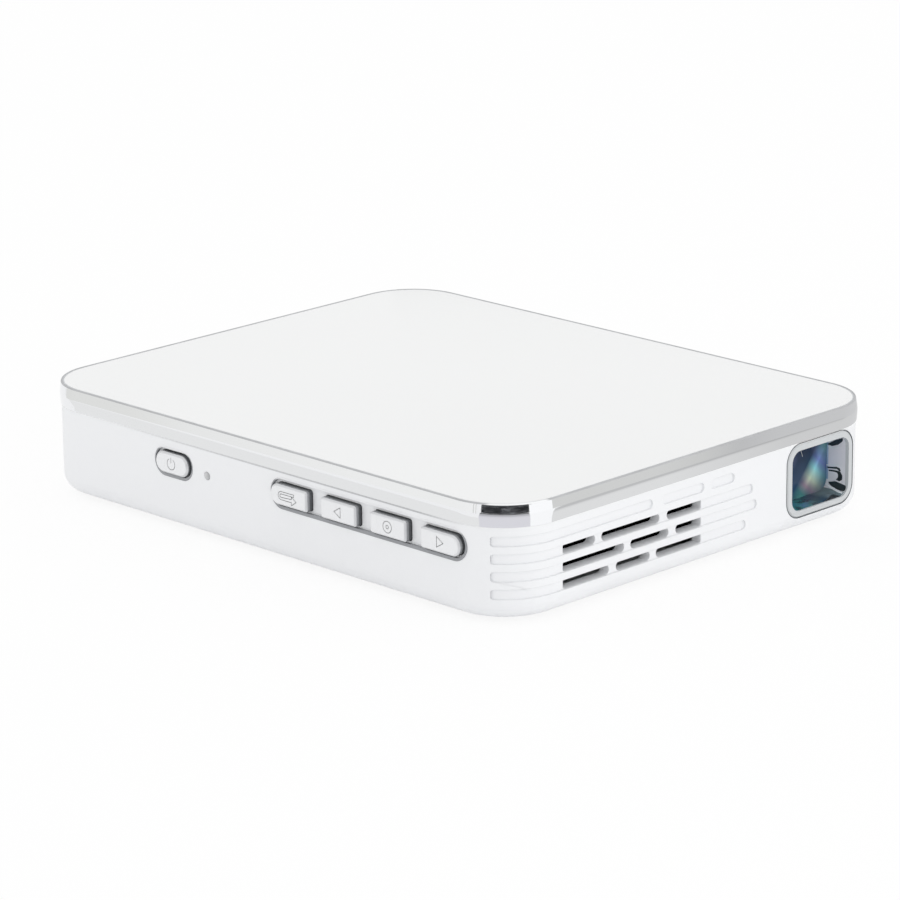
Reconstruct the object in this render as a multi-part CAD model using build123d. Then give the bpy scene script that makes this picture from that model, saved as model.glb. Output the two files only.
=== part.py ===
from build123d import *
from math import cos, radians, sin
import os

os.makedirs("parts", exist_ok=True)

# Pocket projector. X runs across the body, Y along it and Z up, with the table at Z = 0.
# The lens and the vents face -Y, the keys face -X and the sockets face +Y.
# All sizes are millimetres.

# Body
body_length = 124.0
body_width = 100.0
body_height = 21.0
corner_radius = 12.0
wall = 1.8
floor_thickness = 1.8
bottom_fillet = 3.2
foot_proud = 0.8

# Bright band round the top edge, and the panel that it holds
band_height = 4.2
band_step = 0.3
band_crease = 1.95
band_lean = 0.3
band_lip = 0.25
band_ledge = 1.9
panel_gap = 0.25
panel_thickness = 1.4
lip_thickness = 0.9
lip_height = 1.5
seam_clearance = 0.1

# Vent slots and grooves on the lens side
vent_top_gap = 2.55
vent_pitch = 3.15
vent_height = 1.7
vent_wall = 2.4
vent_corner = 0.4
groove_depth = 0.35
groove_height = 1.8
vent_left = 14.5
vent_pad_margin = 1.5
groove_start = 2.1

# Lens window; its height follows from the room between the lens axis and the band
window_width = 15.9
window_top_gap = 0.25
window_corner = 2.2
bezel_width = 1.25
bezel_recess = 0.6
bezel_proud = 0.2
bezel_bevel = 0.3
bezel_gap = 0.05
hood_wall = 0.7
hood_depth = 5.3
hood_plate = 0.8
hood_hole_margin = 0.1
hood_mouth_gap = 0.1

# Lens barrel and the mount that it slides in, which stands just above the floor
barrel_radius = 6.4
barrel_length = 21.0
barrel_from_hood = 1.7
barrel_rim = 0.6
barrel_chamfer = 0.25
glass_seat = 0.9
glass_thickness = 2.6
glass_bulge = 0.7
glass_recess = 0.2
glass_clearance = 0.02
rear_glass_thickness = 2.3
rear_glass_bulge = 0.7
rear_seat_depth = 3.4
rear_seat_step = 0.6
ring_thickness = 1.0
ring_width = 1.0
slide_clearance = 0.05
mount_wall = 1.1
mount_flange = 2.0
mount_flange_reach = 3.0
mount_floor_gap = 0.25

# Focus wheel on the far long side
wheel_radius = 5.8
wheel_proud = 1.0
wheel_thickness = 4.0
wheel_barrel_gap = 0.5
wheel_boss_gap = 0.65
wheel_ridges = 30
wheel_ridge_depth = 0.35
wheel_rim = 1.6
wheel_dish = 0.8
wheel_hub = 2.6
wheel_swing = 35.0
wheel_slot_end_gap = 0.4
wheel_slot_side_gap = 0.5
axle_radius = 0.75
axle_shoulder = 1.5
clip_radius = 1.2
clip_thickness = 0.35
clip_gap = 0.1
clip_opening = 0.9
running_clearance = 0.04
crank_radius = 2.1
crank_pin_radius = 0.6
crank_clearance = 0.12
arm_width = 5.0
arm_thickness = 1.2
arm_overlap = 3.0
arm_end = 1.0
arm_gap = 0.7
free_gap = 0.4

# Keys on the near long side
key_travel = 0.35
key_clearance = 0.12
key_seat_gap = 0.3
key_flange = 0.6
key_flange_thickness = 0.7
key_bevel = 0.35
key_corner = 0.45
key_end_stretch = 0.6
key_floor_depth = 0.6
key_row_drop = 4.1
key_row_from_front = 9.7
key_height = 3.8
key_width = 8.9
key_pitch = 12.45
key_proud = 1.0
key_pocket_margin = 1.05
power_from_keys = 26.05
power_drop = 4.5
power_width = 8.8
power_height = 4.0
power_proud = 0.7
power_margin = 0.8
trim_width = 0.3
light_from_power = 9.05
light_drop = 5.0
light_radius = 0.75
light_collar = 0.7
light_gap = 0.05

# Key board with its switches
board_thickness = 1.0
switch_size = 4.2
switch_height = 1.1
switch_plunger = 0.35
switch_plunger_radius = 1.0
switch_gap = 0.1
key_board_height = 13.0
key_board_lift = 0.3
key_board_from_front = 9.5

# Light engine
engine_length = 26.0
engine_width = 26.0
engine_side_gap = 6.0
engine_lift = 0.8
engine_wall = 2.0
engine_corner = 5.0
engine_rear_wall = 7.0
engine_rib_pitch = 5.0
engine_rib_thickness = 0.8
engine_rib_depth = 0.4
engine_post_radius = 0.9
engine_lid_thickness = 1.2
engine_lid_field = 0.5
engine_lid_gap = 0.6
lamp_board = 1.4
lamp_size = 11.0
lamp_gap = 0.6
lamp_hole_inset = 1.6
lamp_hole_radius = 0.8
spreader_thickness = 2.0
spreader_foot = 0.8
chip_board_gap = 0.4
chip_board_thickness = 1.2
chip_board_margin = 2.0
chip_connector = 4.0
cooler_length = 12.0
cooler_height = 10.0
cooler_base = 0.8
cooler_depth = 2.0
cooler_fin_count = 7
cooler_fin = 0.6

# Cooling
fan_width = 38.0
fan_depth = 34.0
fan_corner = 4.0
fan_lift = 0.6
fan_wall = 1.0
fan_height = 10.0
fan_outlet_gap = 2.1
fan_cover_thickness = 0.8
fan_intake_margin = 3.4
fan_arm = 2.0
rotor_radius = 13.4
rotor_hub = 6.6
rotor_hub_wall = 0.9
rotor_blades = 19
rotor_blade_thickness = 0.8
rotor_blade_sweep = 2.6
rotor_disc = 0.6
rotor_gap = 1.2
rotor_floor_gap = 0.7
rotor_cover_gap = 0.6
shaft_radius = 1.0
bearing_wall = 1.2
coil_poles = 6
coil_gap = 1.0
coil_rotor_gap = 0.5
fin_count = 21
fin_thickness = 0.5
fin_depth = 6.6
fin_height = 9.0
fin_base = 0.8
fin_wall_gap = 0.6
pipe_width = 5.0
pipe_height = 2.6
pipe_gap = 0.3
pipe_bend = 8.0

# Battery and the main board above it
battery_width = 51.0
battery_height = 7.0
battery_from_board = 5.4
battery_front_gap = 4.0
battery_rear_gap = 4.6
battery_gap = 0.15
battery_edge = 1.6
battery_strip = 1.0
tray_wall = 0.8
tray_height = 3.0
tray_notch = 12.0
main_board_thickness = 1.2
board_battery_gap = 1.1
board_engine_gap = 4.1
board_side_gap = 6.9
board_far_gap = 3.9
board_rear_gap = 2.9
standoff_radius = 2.2
standoff_inset = 1.6
standoff_front = 2.4
standoff_rear = 12.4
can_width = 18.0
can_depth = 16.0
can_height = 2.4
can_wall = 0.3
can_hole_radius = 0.6
can_hole_pitch = 3.0

# Sockets at the rear, placed from the middle of that side
power_socket_x = -30.0
power_socket_width = 9.0
power_socket_height = 3.3
video_socket_x = -12.0
video_socket_width = 15.0
video_socket_height = 5.6
video_socket_cut = 1.4
data_socket_x = 9.0
data_socket_width = 14.4
data_socket_height = 6.6
sound_socket_x = 26.5
sound_socket_width = 6.6
sound_socket_height = 6.0
sound_bore = 1.8
socket_depth = 11.5
socket_recess = 0.6
socket_clearance = 0.2
socket_shell = 0.4
receiver_x = -26.0
receiver_width = 8.0
receiver_height = 3.0
receiver_corner = 1.2
receiver_drop = 2.6
receiver_flange = 0.8

# Speaker behind the slots on the focus wheel's side, and the antenna above it
speaker_length = 29.0
speaker_depth = 4.0
speaker_lift = 0.9
speaker_from_board = 9.0
speaker_gap = 0.5
speaker_board_gap = 0.3
magnet_depth = 3.0
magnet_inset = 7.0
speaker_slot_length = 5.6
speaker_slot_height = 1.5
speaker_slot_pitch = 7.0
speaker_slot_columns = 4
antenna_thickness = 0.65
antenna_height = 3.6
antenna_length = 32.0
antenna_gap = 0.05

# Fasteners, feet and the tripod thread
screw_radius = 1.0
screw_head_radius = 1.9
screw_head_height = 1.4
screw_chamfer = 0.3
screw_clearance = 0.15
thread_clearance = 0.02
head_seat_height = 3.2
boss_wall = 0.6
boss_height = 6.4
screw_grip = 4.5
screw_depth = 3.6
foot_radius = 4.5
foot_chamfer = 0.35
foot_recess = 0.4
foot_inset_x = 14.0
foot_inset_y = 18.0
intake_slot_length = 11.6
intake_slot_width = 1.5
intake_pitch = 3.2
intake_rows = 7
tripod_radius = 3.175
tripod_depth = 6.0
tripod_wall = 1.2
tripod_lead = 0.1
tripod_boss_wall = 1.2
tripod_fan_gap = 1.425
panel_rib_depth = 1.3
panel_rib_width = 0.9
panel_rib_overlap = 0.3
post_gap = 0.1

# Places that follow from the sizes above
half_x = body_width / 2
half_y = body_length / 2
top_z = foot_proud + body_height
band_z = top_z - band_height
floor_z = foot_proud + floor_thickness
side_x = half_x - band_step
side_y = half_y - band_step
inner_x = side_x - wall
inner_y = side_y - wall
panel_z = top_z - panel_thickness
rib_z = panel_z - panel_rib_depth
boss_radius = screw_head_radius + screw_clearance + boss_wall

# Lens axis, beside the focus wheel and just above the floor
front_boss_x = half_x - 6.2
front_boss_y = -half_y + 8.6
wheel_x = side_x + wheel_proud - wheel_radius
wheel_y = front_boss_y + boss_radius + wheel_boss_gap + wheel_radius
mount_radius = barrel_radius + slide_clearance + mount_wall
lens_x = wheel_x - wheel_radius - wheel_barrel_gap - barrel_radius
lens_z = floor_z + mount_floor_gap + mount_radius
wheel_z0 = lens_z - wheel_thickness / 2
focus_travel = crank_radius * sin(radians(wheel_swing))
glass_radius = barrel_radius - barrel_rim
barrel_bore = glass_radius - glass_seat
window_height = 2 * (band_z - window_top_gap - bezel_width - lens_z)
window_left = lens_x - window_width / 2 - bezel_width

# Stations along the lens axis
window_y = -side_y + bezel_recess
hood_end_y = window_y + hood_depth
barrel_y0 = hood_end_y + barrel_from_hood
barrel_y1 = barrel_y0 + barrel_length
engine_y0 = barrel_y1 + focus_travel + free_gap
engine_y1 = engine_y0 + engine_length
engine_x0 = half_x - engine_side_gap - engine_width
engine_x1 = engine_x0 + engine_width
engine_z0 = floor_z + engine_lift
engine_z1 = rib_z - engine_lid_gap - engine_lid_field - engine_lid_thickness

# Cooling group, in line with the vent slots
vent_first_x = -half_x + vent_left
fins_y0 = -side_y + vent_wall + fin_wall_gap
fins_y1 = fins_y0 + fin_depth
fan_y = fins_y1 + fan_outlet_gap + fan_depth / 2
fan_z0 = floor_z + fan_lift
fan_z1 = fan_z0 + fan_height
rotor_z0 = fan_z0 + fan_wall + rotor_floor_gap
rotor_z1 = fan_z1 - rotor_cover_gap
spreader_x1 = engine_x0 - lamp_board
pipe_z0 = fan_z1 + fan_cover_thickness + pipe_gap + spreader_foot

# Tripod thread behind the blower
tripod_outer = tripod_radius + tripod_wall
tripod_boss = tripod_outer + tripod_boss_wall
tripod_y = fan_y + fan_depth / 2 + tripod_fan_gap + tripod_boss

# Main board behind the light engine, and the battery under it
board_left = -inner_x + board_side_gap
board_right = inner_x - board_far_gap
board_front = engine_y1 + board_engine_gap
board_rear = inner_y - board_rear_gap
socket_front_y = side_y - socket_recess
socket_rear_y = socket_front_y - socket_depth
battery_x0 = board_left + battery_from_board
battery_x1 = battery_x0 + battery_width
battery_y0 = board_front + battery_front_gap
battery_y1 = socket_rear_y - battery_rear_gap
battery_z0 = floor_z + tray_wall + 0.1
battery_z1 = battery_z0 + battery_height
main_board_z = battery_z1 + board_battery_gap
board_top_z = main_board_z + main_board_thickness
standoff_mid_x = battery_x1 + battery_gap + tray_wall + 0.6 + standoff_radius
standoff_left_x = board_left + standoff_inset
standoff_far_x = board_right - 2.6
standoff_front_y = board_front + standoff_front
standoff_rear_y = board_rear - standoff_rear
standoff_places = (
    (standoff_left_x, standoff_front_y),
    (standoff_left_x, standoff_rear_y),
    (standoff_mid_x, standoff_front_y),
    (standoff_mid_x, standoff_rear_y),
    (standoff_far_x, standoff_front_y),
)

# Speaker beside the board
speaker_height = main_board_z - speaker_board_gap - floor_z - speaker_lift
speaker_z = floor_z + speaker_lift + speaker_height / 2
speaker_x1 = inner_x - speaker_gap
speaker_x0 = speaker_x1 - speaker_depth
speaker_y0 = board_front + speaker_from_board
speaker_y1 = speaker_y0 + speaker_length


def block(x0, x1, y0, y1, z0, z1):
    """Box between two corners."""
    return Pos((x0 + x1) / 2, (y0 + y1) / 2, (z0 + z1) / 2) * Box(x1 - x0, y1 - y0, z1 - z0)


def post(x, y, z0, z1, radius):
    """Upright cylinder between two heights."""
    return Pos(x, y, (z0 + z1) / 2) * Cylinder(radius, z1 - z0)


def rounded_slab(hx, hy, radius, z0, z1):
    """Upright prism on a rounded rectangle centred on the Z axis."""
    return extrude(Plane.XY.offset(z0) * RectangleRounded(2 * hx, 2 * hy, radius), z1 - z0)


def inset_slab(inset, z0, z1):
    """Prism that follows the body outline, a given distance inside it."""
    return rounded_slab(half_x - inset, half_y - inset, corner_radius - inset, z0, z1)


def inset_loft(inset0, z0, inset1, z1):
    """Leaning ring body between two insets of the body outline."""
    faces = []
    for inset, z in ((inset0, z0), (inset1, z1)):
        outline = RectangleRounded(2 * (half_x - inset), 2 * (half_y - inset), corner_radius - inset)
        faces.append(Plane.XY.offset(z) * outline)
    return loft(faces, ruled=True)


def near_side(y, z, out=0.0):
    """Plane on the key side: local X runs along -Y, local Y is up, and the normal points out."""
    return Plane(origin=(-side_x - out, y, z), x_dir=(0, -1, 0), z_dir=(-1, 0, 0))


def far_side(y, z, out=0.0):
    """Plane on the focus wheel side: local X runs along +Y and the normal points out."""
    return Plane(origin=(side_x + out, y, z), x_dir=(0, 1, 0), z_dir=(1, 0, 0))


def lens_side(x, z, out=0.0):
    """Plane on the lens side: local X runs along +X and the normal points out."""
    return Plane(origin=(x, -side_y - out, z), x_dir=(1, 0, 0), z_dir=(0, -1, 0))


def rear_side(x, z, out=0.0):
    """Plane on the socket side: local X runs along -X and the normal points out."""
    return Plane(origin=(x, side_y + out, z), x_dir=(-1, 0, 0), z_dir=(0, 1, 0))


def save(shape, name):
    """Write one node to its own STEP file."""
    shape.label = name
    export_step(shape, f"parts/{name}.step")


# Vents -----------------------------------------------------------------------------------

# Each row: slots as (start, end) from the left edge of the vent field, then the distance
# from the end of its groove to the frame of the lens window.
vent_rows = (
    (((0.0, 8.1), (9.7, 24.6), (26.5, 35.5)), 9.4),
    (((0.0, 15.5), (17.1, 27.0), (28.8, 35.5)), 8.3),
    (((0.0, 11.6), (13.4, 22.1), (23.7, 35.5)), 11.3),
)
# Short grooves in the row above the slots, back from the frame of the lens window.
upper_grooves = ((None, 36.0), (33.5, 22.5), (20.7, 14.4))
vent_width = vent_rows[0][0][-1][1]
fan_x = vent_first_x + vent_width / 2


def row_height(row):
    """Middle height of a vent row, counted down from the row of short grooves."""
    return band_z - vent_top_gap - row * vent_pitch


def vent_slot(x0, x1, z, square_left, square_right):
    """Through slot with full round ends, squared off where the vent field ends."""
    plane = lens_side((x0 + x1) / 2, z, 1.0)
    outline = SlotOverall(x1 - x0, vent_height)
    half = (x1 - x0) / 2
    for square, sign in ((square_left, -1), (square_right, 1)):
        if square:
            corner = RectangleRounded(vent_height * 1.5, vent_height, vent_corner)
            outline += Pos(sign * (half - vent_height * 0.75), 0) * corner
    return extrude(plane * outline, -(vent_wall + 2.0))


def groove_cutter(x0, x1, z):
    """Bar with one round end that marks how far a groove runs along the lens side."""
    radius = groove_height / 2
    outline = SlotOverall(x1 - x0, groove_height)
    if x0 < -half_x + corner_radius:
        start = RectangleRounded(groove_height * 1.5, groove_height, vent_corner)
        outline += Pos(-(x1 - x0) / 2 + radius * 1.5, 0) * start
    plane = lens_side((x0 + x1) / 2, z, 1.0)
    return extrude(plane * outline, -(corner_radius + 1.0))


def groove_skin():
    """Thin skin over the lens side and its near corner that the grooves are cut out of."""
    z0 = row_height(4)
    z1 = row_height(-1)
    skin = inset_slab(band_step - 0.5, z0, z1)
    skin -= inset_slab(band_step + groove_depth, z0, z1)
    return skin


def grooves():
    """All shallow grooves as one cutting tool."""
    skin = groove_skin()
    start = -half_x + groove_start
    spans = []
    for far, near in upper_grooves:
        left = start if far is None else window_left - far
        spans.append((left, window_left - near, row_height(0)))
    for row, (slots, groove_gap) in enumerate(vent_rows, start=1):
        spans.append((start, window_left - groove_gap, row_height(row)))
    tools = [skin & groove_cutter(x0, x1, z) for x0, x1, z in spans]
    return tools


def vents():
    """All through slots of the vent field."""
    tools = []
    for row, (slots, groove_gap) in enumerate(vent_rows, start=1):
        for x0, x1 in slots:
            at_left = x0 == 0.0
            at_right = x1 == vent_width
            tools.append(vent_slot(vent_first_x + x0, vent_first_x + x1, row_height(row), at_left, at_right))
    return tools


# Keys ------------------------------------------------------------------------------------

key_names = ("return_key", "previous_key", "ok_key", "next_key")
key_pocket_height = key_height + 2 * key_pocket_margin
key_span = (len(key_names) - 1) * key_pitch + key_width + key_end_stretch
key_row_length = key_span + 2 * key_pocket_margin
key_row_z = band_z - key_row_drop
key_row_y1 = -half_y + key_row_from_front + key_row_length
key_pocket_y = key_row_y1 - key_row_length / 2
power_y = key_row_y1 + power_from_keys
power_z = band_z - power_drop
light_y = power_y - light_from_power
light_z = band_z - light_drop


def key_centre(index):
    """Middle of a key along the body, counted from the return key."""
    first = key_row_y1 - key_pocket_margin - (key_width + key_end_stretch) / 2
    return first - index * key_pitch


def key_outline(index, grow=0.0):
    """Face of a key: the first and last have one round end, the others have small corners."""
    width = key_width + 2 * grow
    height = key_height + 2 * grow
    corner = key_corner + grow
    face = RectangleRounded(width, height, corner)
    ends = {0: -1, len(key_names) - 1: 1}
    if index in ends:
        sign = ends[index]
        face = Pos(sign * key_end_stretch / 2, 0) * SlotOverall(width + key_end_stretch, height)
        square = RectangleRounded(width / 2, height, corner)
        face += Pos(-sign * (width / 4), 0) * square
        face += Pos(-sign * (width / 8), 0) * Rectangle(width / 2, height)
    return face


def stadium(width, height, grow=0.0):
    """Outline with full round ends."""
    return SlotOverall(width + 2 * grow, height + 2 * grow)


def key_solid(outline, flange_outline, y, z, proud, bevel):
    """Key cap with a bevelled face, and the flange inside the wall that holds it in."""
    front = proud
    back = wall + key_seat_gap
    cap = extrude(near_side(y, z, -back) * outline, front + back)
    face_edges = cap.faces().sort_by(Axis.X)[0].edges()
    cap = chamfer(face_edges, bevel)
    flange = extrude(near_side(y, z, -back - key_flange_thickness) * flange_outline, key_flange_thickness)
    return cap + flange


def key_trim(width, height, y, z, depth):
    """Thin trim ring in the rim of a key pocket, a little wider along its lower edge."""
    ring = extrude(near_side(y, z, -depth) * stadium(width, height), depth)
    inner = Pos(0, trim_width / 2) * stadium(width - 2 * trim_width, height - 3 * trim_width)
    ring -= extrude(near_side(y, z, -depth) * inner, depth)
    return ring


# Screws and bosses -----------------------------------------------------------------------

case_screw_places = (
    (-half_x + 9.5, -half_y + 9.5),
    (front_boss_x, front_boss_y),
    (-half_x + 7.5, half_y - 7.5),
    (half_x - 7.5, half_y - 7.5),
)
head_seat_z = foot_proud + head_seat_height
boss_top_z = floor_z + boss_height
screw_end_z = boss_top_z + screw_grip
foot_places = [
    (sx * (half_x - foot_inset_x), sy * (half_y - foot_inset_y)) for sx in (-1, 1) for sy in (-1, 1)
]


def screw(x, y, z_seat, z_tip, pointing_up=True):
    """Pan head screw with a cross recess; the head lies on the far side of its seat from the tip."""
    sign = -1 if pointing_up else 1
    head_z = z_seat + sign * screw_head_height
    low, high = min(z_seat, head_z), max(z_seat, head_z)
    head = post(x, y, low, high, screw_head_radius)
    outer = head.faces().sort_by(Axis.Z)[0 if pointing_up else -1]
    head = chamfer(outer.edges(), screw_chamfer)
    depth = 0.6
    for angle in (0, 90):
        bar = Rot(0, 0, angle) * Box(2.2, 0.5, depth)
        head -= Pos(x, y, head_z - sign * depth / 2) * bar
    shank = post(x, y, min(z_seat, z_tip), max(z_seat, z_tip), screw_radius)
    return head + shank


# Bottom housing --------------------------------------------------------------------------

switch_face_x = -inner_x + key_seat_gap + key_flange_thickness + key_travel + switch_gap
key_board_x = switch_face_x + switch_plunger + switch_height
key_board_front = -half_y + key_board_from_front
key_board_rear = power_y + power_width


def housing_shell():
    """Open tray with a rounded lower edge and a lip that steps up inside the band."""
    shell = inset_slab(band_step, foot_proud, band_z)
    shell = fillet(shell.faces().sort_by(Axis.Z)[0].edges(), bottom_fillet)
    cavity = inset_slab(band_step + wall, floor_z, band_z)
    cavity = fillet(cavity.faces().sort_by(Axis.Z)[0].edges(), bottom_fillet - wall)
    shell -= cavity
    lip_inset = band_step + wall - lip_thickness
    lip = inset_slab(lip_inset, band_z, band_z + lip_height)
    lip -= inset_slab(band_step + wall, band_z, band_z + lip_height)
    return shell + lip


def vent_pad():
    """Thicker stretch of wall behind the vent slots."""
    x0 = vent_first_x - vent_pad_margin
    x1 = vent_first_x + vent_width + vent_pad_margin
    z0 = row_height(3) - vent_height
    z1 = row_height(1) + vent_height
    return block(x0, x1, -inner_y - 0.2, -side_y + vent_wall, z0, z1)


def housing_bosses():
    """Screw posts, board standoffs, the tripod boss and the ribs that locate the inner parts."""
    adds = []
    for x, y in case_screw_places:
        adds.append(post(x, y, floor_z - 0.5, boss_top_z, boss_radius))
    for x, y in standoff_places:
        adds.append(post(x, y, floor_z - 0.5, main_board_z, standoff_radius))
    tripod_top = foot_proud + tripod_depth + tripod_boss_wall
    adds.append(post(0, tripod_y, floor_z - 0.5, tripod_top, tripod_boss))
    rib_x = key_board_x
    for y in (key_board_front + 1.5, key_board_rear - 2.5):
        for x in (rib_x - 1.3, rib_x + board_thickness + 0.1):
            adds.append(block(x, x + 1.2, y, y + 1.2, floor_z - 0.5, floor_z + 4.0))
    return adds


def housing_cuts():
    """Screw seats, foot recesses, intake slots and the tripod bore."""
    cuts = []
    for x, y in case_screw_places:
        cuts.append(post(x, y, foot_proud - 0.5, head_seat_z, screw_head_radius + screw_clearance))
        cuts.append(post(x, y, foot_proud, boss_top_z + 0.5, screw_radius + screw_clearance))
    for x, y in foot_places:
        cuts.append(post(x, y, foot_proud - 0.5, foot_proud + foot_recess, foot_radius + seam_clearance))
    for x, y in standoff_places:
        cuts.append(post(x, y, main_board_z - 5.0, main_board_z + 0.5, screw_radius + thread_clearance))
    cuts.append(post(0, tripod_y, foot_proud - 0.5, foot_proud + tripod_depth, tripod_outer))
    for column in (-1, 1):
        for row in range(intake_rows):
            x = fan_x + column * (intake_slot_length / 2 + 0.8)
            y = fan_y + (row - (intake_rows - 1) / 2) * intake_pitch
            slot = Pos(x, y, foot_proud - 0.5) * SlotOverall(intake_slot_length, intake_slot_width)
            cuts.append(extrude(slot, floor_thickness + 1.0))
    return cuts


def side_cuts():
    """Openings in the four walls: lens window, key holes, wheel slot, speaker slots and sockets."""
    cuts = []
    window = window_frame(hood_wall + hood_mouth_gap)
    cuts.append(extrude(lens_side(lens_x, lens_z, 1.0) * window, -(wall + 2.0)))
    frame = window_frame(bezel_width + bezel_gap)
    cuts.append(extrude(lens_side(lens_x, lens_z, 1.0) * frame, -(bezel_recess + 1.0)))
    pocket = stadium(key_row_length, key_pocket_height)
    cuts.append(extrude(near_side(key_pocket_y, key_row_z, 1.0) * pocket, -(key_floor_depth + 1.0)))
    pocket = stadium(power_width, power_height, power_margin)
    cuts.append(extrude(near_side(power_y, power_z, 1.0) * pocket, -(key_floor_depth + 1.0)))
    for index in range(len(key_names)):
        hole = key_outline(index, key_clearance)
        cuts.append(extrude(near_side(key_centre(index), key_row_z, 1.0) * hole, -(wall + 2.0)))
    hole = stadium(power_width, power_height, key_clearance)
    cuts.append(extrude(near_side(power_y, power_z, 1.0) * hole, -(wall + 2.0)))
    hole = Circle(light_radius + light_gap)
    cuts.append(extrude(near_side(light_y, light_z, 1.0) * hole, -(wall + 2.0)))
    slot_length = 2 * (wheel_radius + wheel_slot_end_gap)
    slot = RectangleRounded(slot_length, wheel_thickness + 2 * wheel_slot_side_gap, 1.0)
    cuts.append(extrude(far_side(wheel_y, lens_z, 1.0) * slot, -(wall + 2.0)))
    first = (speaker_y0 + speaker_y1) / 2 - (speaker_slot_columns - 1) / 2 * speaker_slot_pitch
    for row in (-1, 1):
        for column in range(speaker_slot_columns):
            place = far_side(first + column * speaker_slot_pitch, speaker_z + row * speaker_slot_height, 1.0)
            outline = SlotOverall(speaker_slot_length, speaker_slot_height)
            cuts.append(extrude(place * outline, -(wall + 2.0)))
    for x, outline, z in socket_openings():
        cuts.append(extrude(rear_side(x, z, 1.0) * outline, -(wall + 2.0)))
    return cuts


def window_frame(grow):
    """Lens window outline, grown by a margin."""
    return RectangleRounded(window_width + 2 * grow, window_height + 2 * grow, window_corner + grow)


def bottom_housing():
    """White moulded housing that carries everything."""
    shell = housing_shell() + vent_pad()
    for add in housing_bosses():
        shell += add
    shell &= inset_slab(band_step, foot_proud, top_z)
    shell -= vents()
    shell -= grooves()
    shell -= housing_cuts()
    shell -= side_cuts()
    return shell


# Band and top panel ----------------------------------------------------------------------

def chrome_band():
    """Bright band with two leaning facets, a thin lip round the panel and a ledge under it."""
    crease_z = top_z - band_crease
    lower = inset_loft(band_step / 3, band_z, 0.0, crease_z)
    upper = inset_loft(0.0, crease_z, band_lean, top_z - 0.15)
    cap = inset_loft(band_lean, top_z - 0.15, band_lean + 0.15, top_z)
    ring = lower + upper + cap
    ring -= inset_slab(band_lean + band_lip, panel_z, top_z + 1.0)
    ring -= inset_slab(band_lean + band_lip + band_ledge, band_z - 1.0, top_z)
    lip_inset = band_step + wall - lip_thickness - seam_clearance
    ring -= inset_slab(lip_inset, band_z - 1.0, band_z + lip_height + seam_clearance)
    return ring


def top_panel():
    """Glossy top panel with a softened edge, four screw posts and stiffening ribs underneath."""
    inset = band_lean + band_lip + panel_gap
    panel = inset_slab(inset, panel_z, top_z - 0.05)
    panel = fillet(panel.faces().sort_by(Axis.Z)[-1].edges(), 0.25)
    root_z = panel_z + panel_rib_overlap
    for x, y in case_screw_places:
        panel += post(x, y, boss_top_z + post_gap, root_z, boss_radius)
    for y in (engine_y1 - 3.0, (board_front + board_rear) / 2):
        panel += block(-inner_x + 8.0, inner_x - 8.0, y, y + panel_rib_width, rib_z, root_z)
    for x in (fan_x - rotor_hub, fan_x + fan_width / 2 + 2.0):
        panel += block(x, x + panel_rib_width, -inner_y + 12.0, inner_y - 12.0, rib_z, root_z)
    for x, y in case_screw_places:
        panel -= post(x, y, boss_top_z - 1.0, screw_end_z + 0.5, screw_radius + thread_clearance)
    return panel


# Lens group ------------------------------------------------------------------------------

def lens_bezel():
    """Bright frame round the lens window, flush in its recess, with a bevelled face."""
    depth = bezel_recess + bezel_proud
    frame = extrude(lens_side(lens_x, lens_z, -bezel_recess) * window_frame(bezel_width), depth)
    frame = chamfer(frame.faces().sort_by(Axis.Y)[0].edges(), bezel_bevel)
    inner = extrude(lens_side(lens_x, lens_z, -bezel_recess) * window_frame(0.0), depth)
    frame -= inner
    return frame


def lens_hood():
    """Square tube behind the window, closed by a plate with a round opening for the lens."""
    hood = extrude(along_lens(window_y) * window_frame(hood_wall), hood_depth)
    hood -= extrude(along_lens(window_y) * window_frame(0.0), hood_depth - hood_plate)
    hole = Circle(glass_radius + hood_hole_margin)
    return hood - extrude(along_lens(hood_end_y - hood_plate) * hole, hood_plate)


def along_lens(y):
    """Plane across the lens axis that faces the rear."""
    return Plane(origin=(lens_x, y, lens_z), x_dir=(1, 0, 0), z_dir=(0, 1, 0))


def tube(y0, y1, outer, inner):
    """Ring on the lens axis between two stations."""
    ring = extrude(along_lens(y0) * Circle(outer), y1 - y0)
    return ring - extrude(along_lens(y0) * Circle(inner), y1 - y0)


def focus_arm():
    """Arm on the barrel whose cross slot takes the pin of the focus wheel."""
    z0 = wheel_z0 + wheel_thickness + arm_gap
    near = crank_radius * cos(radians(wheel_swing))
    x0 = lens_x + barrel_radius - arm_overlap
    x1 = wheel_x - near + crank_pin_radius + crank_clearance + arm_end
    half = arm_width / 2
    arm = block(x0, x1, wheel_y - half, wheel_y + half, z0, z0 + arm_thickness)
    slot_width = 2 * (crank_pin_radius + crank_clearance)
    slot_length = crank_radius - near + slot_width
    slot = Pos(wheel_x - (near + crank_radius) / 2, wheel_y, z0) * SlotOverall(slot_length, slot_width)
    return arm - extrude(slot, arm_thickness)


def lens_barrel():
    """Sliding barrel with seats for the two lenses and the focus arm."""
    barrel = extrude(along_lens(barrel_y0) * Circle(barrel_radius), barrel_length)
    barrel = chamfer(barrel.faces().sort_by(Axis.Y)[0].edges(), barrel_chamfer)
    barrel += focus_arm()
    seat = glass_thickness + glass_bulge + glass_recess
    barrel -= extrude(along_lens(barrel_y0) * Circle(glass_radius + glass_clearance), seat)
    barrel -= extrude(along_lens(barrel_y0) * Circle(barrel_bore), barrel_length)
    rear_seat = Circle(barrel_bore + rear_seat_step)
    barrel -= extrude(along_lens(barrel_y1 - rear_seat_depth) * rear_seat, rear_seat_depth)
    return barrel


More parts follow.
